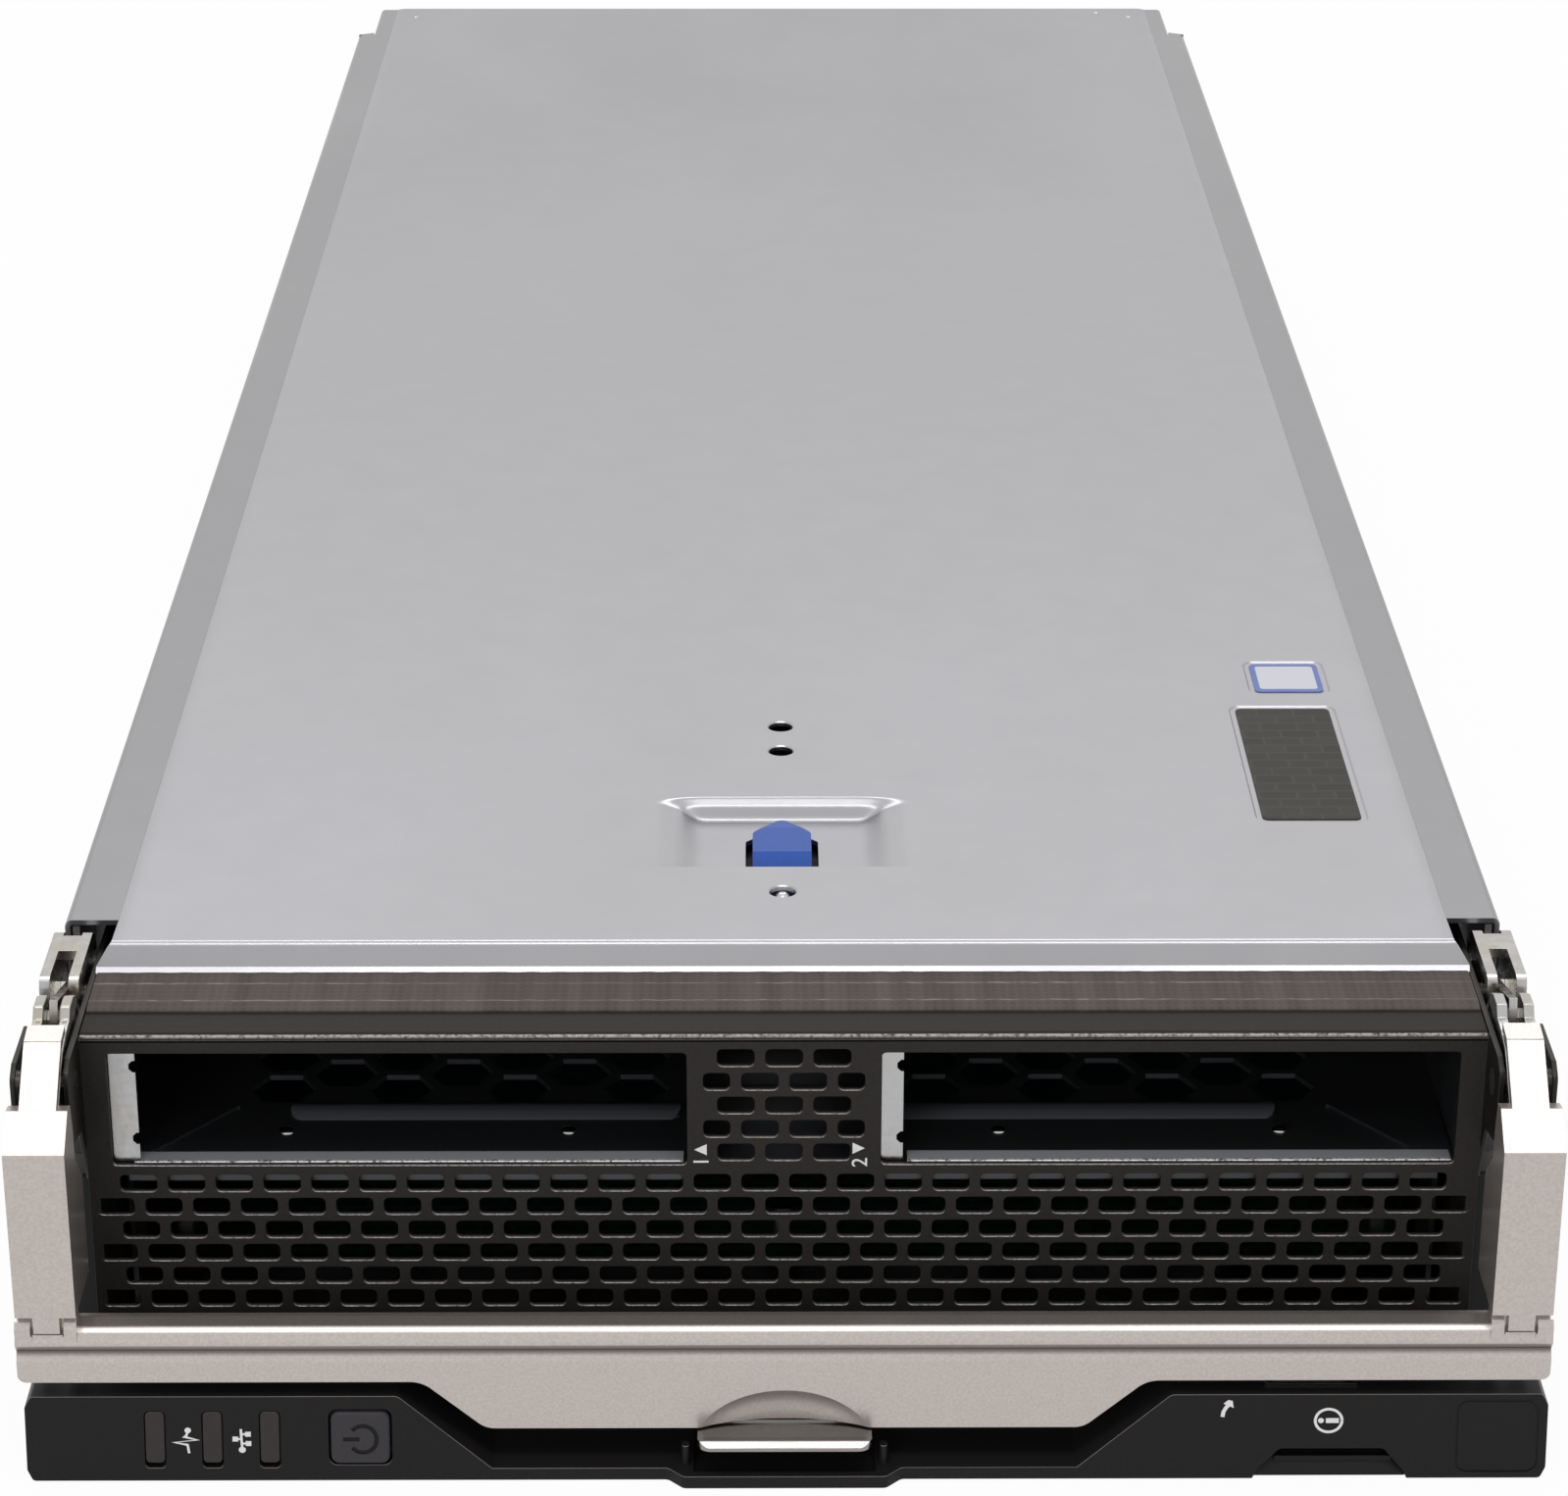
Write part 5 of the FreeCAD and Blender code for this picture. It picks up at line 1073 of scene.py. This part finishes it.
def makeLabelTab():
    # pull-out tab: long strip, stop at its rear end and a sloping grip that fills the notch
    tab = {"stripMm": ((69.8, 86.5), (-20.2, 69.6)), "stopMm": ((68.0, 88.3), (65.6, 69.6)),
           "sheetMm": (1.9, 2.7), "gripRearMm": -18.2}
    (a, b), (c, d), rise = panel["notchMm"]
    front, rear = panel["frontMm"], tab["gripRearMm"]
    outline = [(c + 0.12, 0.05), (d - 0.12, 0.05), (d - 0.7, 1.2), (b - 0.2, rise - 0.3),
               (a + 0.2, rise - 0.3), (c + 0.7, 1.2)]
    crown = [(front + 0.35, 0.1), (front + 0.5, 0.7), (front + 1.3, 2.7, 1.5), (rear, 3.6), (rear, 0.1)]
    slope = prism(corners(crown, 6), "x", c - 1.0, d + 1.0)
    grip = cut(prism(outline, "y", front + 0.1, rear), [slope], "INTERSECT")
    parts = [grip] + [prism(rect(*tab[k]), "z", *tab["sheetMm"]) for k in ("stripMm", "stopMm")]
    shape = rounded(leaning(joined(parts)), 0.12, 2)
    addPiece("labelPullTab", shape, "plainBlack", "label_pull_tab", ["label_pull_tab"], 40.0)


def makeLightPipes():
    # lenses of the three lights, each on a square light pipe
    front = panel["frontMm"]
    width, low, top = panel["windowMm"]
    lenses, stems = [], []
    for x in panel["windowsMm"]:
        face = rect(grown((x, x), width / 2.0), (low, top), 0.65, 4)
        lenses.append(prism(face, "y", front - 0.06, front + 1.6))
        stems.append(prism(rect(grown((x, x), 0.8), (3.9, 6.9)), "y", front + 1.5, -10.0))
    pipes = rounded(leaning(joined(lenses + stems)), 0.3)
    addPiece("lightPipes", pipes, "smoked_plastic", "chassis", ["indicator_windows"])


def makePowerButton():
    # domed cap on a flange and stem, with the power symbol sunk in it
    front = panel["frontMm"]
    x, size, low, top = panel["powerMm"]
    cap = prism(rect(grown((x, x), size / 2.0), (low, top), 1.2, 6), "y", front - 0.4, front + 2.2)
    cap = rounded(leaning(cap), 0.5, 4, 40.0)
    cx, cz, radius, width = panel["symbolMm"]
    symbol = [strokeOf(arcPath(cx, cz, radius, -140.0, 140.0, 32), width),
              strokeOf([(cx - radius * 1.45, cz), (cx - radius * 0.25, cz)], width)]
    grooves = [leaning(prism(stroke, "y", front - 1.0, front - 0.15)) for stroke in symbol]
    flange = prism(rect(grown((x, x), 5.6), (2.6, 9.1)), "y", front + 1.75, front + 2.7)
    stem = prism(disc(x, 5.8, 1.3), "y", front + 2.6, front + 8.4)
    button = joined([cut(cap, grooves), leaning(flange), leaning(stem)])
    addPiece("powerCap", button, "grey_plastic", "power_button", ["power_button"], 30.0)
    inlay = [prism(stroke, "y", front - 0.2, front + 0.1) for stroke in symbol]
    addPiece("powerSymbol", leaning(joined(inlay)), "plainBlack", "power_button")


def makePanelMarks():
    # activity, network, release arrow and information symbols, squeezed a little and raised to fit the face
    marks = {"raiseMm": 1.451, "squeeze": 0.883, "faceMm": (-0.03, 0.05), "stepMm": 0.002}
    pulse = [(-84.78, 6.5), (-84.95, 5.95), (-85.2, 5.7), (-83.4, 5.2), (-86.7, 4.8), (-84.8, 4.4),
             (-84.6, 3.0)]
    activity = [disc(-84.72, 6.8, 0.46), strokeOf(pulse, 0.34)]
    branches = ((-78.0, -77.1, 5.35), (-77.15, -76.2, 6.15), (-77.1, -76.2, 4.6))
    network = [strokeOf([(-77.2, 7.0), (-77.05, 3.7)], 0.34)]
    network += [strokeOf([(first, z), (last, z)], 0.3) for first, last, z in branches]
    network += [disc(-77.05, 3.55, 0.5), rect((-78.4, -77.6), (4.95, 5.75)),
                rect((-76.6, -75.8), (5.75, 6.55)), rect((-76.55, -75.75), (4.2, 5.0))]
    arrow = [strokeOf([(62.2, 8.7), (62.3, 9.5), (62.7, 10.3), (63.1, 10.7)], 0.55),
             [(62.3, 10.9), (63.75, 10.2), (63.6, 11.35), (63.0, 11.5)]]
    info = [strokeOf(arcPath(77.3, 8.05, 1.9, 0.0, 358.0, 48), 0.4), disc(76.2, 8.05, 0.42),
            rect((76.9, 78.75), (7.66, 8.44))]
    near, far = [panel["frontMm"] + depth for depth in marks["faceMm"]]
    meshes = []
    for k, outline in enumerate(activity + network + arrow + info):
        raised = [(p[0], marks["raiseMm"] + marks["squeeze"] * p[1]) for p in outline]
        meshes.append(prism(raised, "y", near - k * marks["stepMm"], far))
    addPiece("panelMarks", leaning(joined(meshes)), "ink", "chassis")


makePanel()
makeLabelTab()
makeLightPipes()
makePowerButton()
makePanelMarks()
easedCopy("drive_cage", 0.15, "dark_steel", 2)
print("front panel ready")


# room: pale floor, soft lamps, camera
studio = {"floor": "#f4f4f4", "floorHalfM": 6.0, "floorM": -0.0002, "whiteShare": 0.95, "roomLight": 0.5,
          "behindCameraMm": 551.967, "heightMm": 344.354, "sideMm": -3.628,
          "pitchDeg": 23.5789, "yawDeg": 0.36843, "rollDeg": -0.0766, "lensMm": 100.29}
# place, target and size in metres, watts, and whether it shines: a fill that doesn't shine leaves no patch
# on bare metal
lamps = {"frontSoftbox": ((0.0, -0.72, 1.5), (0, -0.25, 0), (1.3, 0.35), 6.0, True),
         "rearSoftbox": ((0.0, 0.95, 1.5), (0, -0.1, 0), (1.6, 0.5), 9.0, True),
         "lensSideFill": ((-0.7, -2.2, 0.7), (0, -0.25, 0.03), (1.0, 0.8), 14.0, False)}


def addCamera():
    yaw, pitch, roll = [math.radians(studio[k]) for k in ("yawDeg", "pitchDeg", "rollDeg")]
    forward = Vector((math.sin(yaw) * math.cos(pitch), math.cos(yaw) * math.cos(pitch), -math.sin(pitch)))
    level = Vector((math.cos(yaw), -math.sin(yaw), 0))
    under = forward.cross(level)
    right = level * math.cos(roll) + under * math.sin(roll)
    down = under * math.cos(roll) - level * math.sin(roll)
    lens = bpy.data.cameras.new("viewCamera")
    lens.lens, lens.sensor_width, lens.clip_start, lens.clip_end = studio["lensMm"], 36.0, 0.05, 50.0
    camera = placed(lens, "viewCamera")
    stand = Matrix.Translation(at(studio["sideMm"], -studio["behindCameraMm"], studio["heightMm"]))
    camera.matrix_world = stand @ Matrix((right, -down, -forward)).transposed().to_4x4()
    bpy.context.scene.camera = camera


def seenShare(tree):
    # 1 where the camera, a mirror or glass looks, 0 for the light that falls on surfaces
    share = addNode(tree, "LightPath", result="Is Camera Ray")
    for ray in ("Is Glossy Ray", "Is Transmission Ray"):
        share = addNode(tree, "Math", (share, addNode(tree, "LightPath", result=ray)), operation="MAXIMUM")
    return share


def addRoom():
    # the camera, mirrors and glass see pure white; surfaces get a softer fill
    world = bpy.data.worlds.new("whiteRoom")
    bpy.context.scene.world = world
    world.use_nodes = True
    tree = world.node_tree
    level = addNode(tree, "MapRange", (seenShare(tree), 0.0, 1.0, studio["roomLight"], 1.0))
    feed(tree, tree.nodes["Background"], {"Strength": level, "Color": (1, 1, 1, 1)})


def addFloor():
    half, low = studio["floorHalfM"], studio["floorM"]
    mesh = bpy.data.meshes.new("paleFloor")
    mesh.from_pydata([(-half, -half, low), (half, -half, low), (half, half, low), (-half, half, low)], [],
                     [(0, 1, 2, 3)])
    floor = placed(mesh, "paleFloor")
    material, tree, shader = newMaterial("whiteSweepPaper")[:3]
    feed(tree, shader, {"Base Color": studio["floor"], "Roughness": 0.9})
    share = addNode(tree, "Math", (seenShare(tree), studio["whiteShare"]), operation="MULTIPLY")
    white = addNode(tree, "Emission", {"Color": (1, 1, 1, 1), "Strength": 1.0})
    surface = addNode(tree, "MixShader", (share, shader.outputs[0], white))
    feed(tree, tree.nodes["Material Output"], {"Surface": surface})
    mesh.materials.append(material)


def addLamp(name, place, target, sizeM, watts, shines):
    lamp = bpy.data.lights.new(name, "AREA")
    lamp.shape, lamp.size, lamp.size_y, lamp.energy = "RECTANGLE", sizeM[0], sizeM[1], watts
    holder = placed(lamp, name)
    holder.location = place
    holder.visible_glossy = shines
    holder.rotation_euler = (Vector(target) - Vector(place)).to_track_quat("-Z", "Y").to_euler()


bpy.context.scene.view_settings.view_transform = "Standard"
addCamera()
addRoom()
addFloor()
for name, lamp in lamps.items():
    addLamp(name, *lamp)
print("room ready")
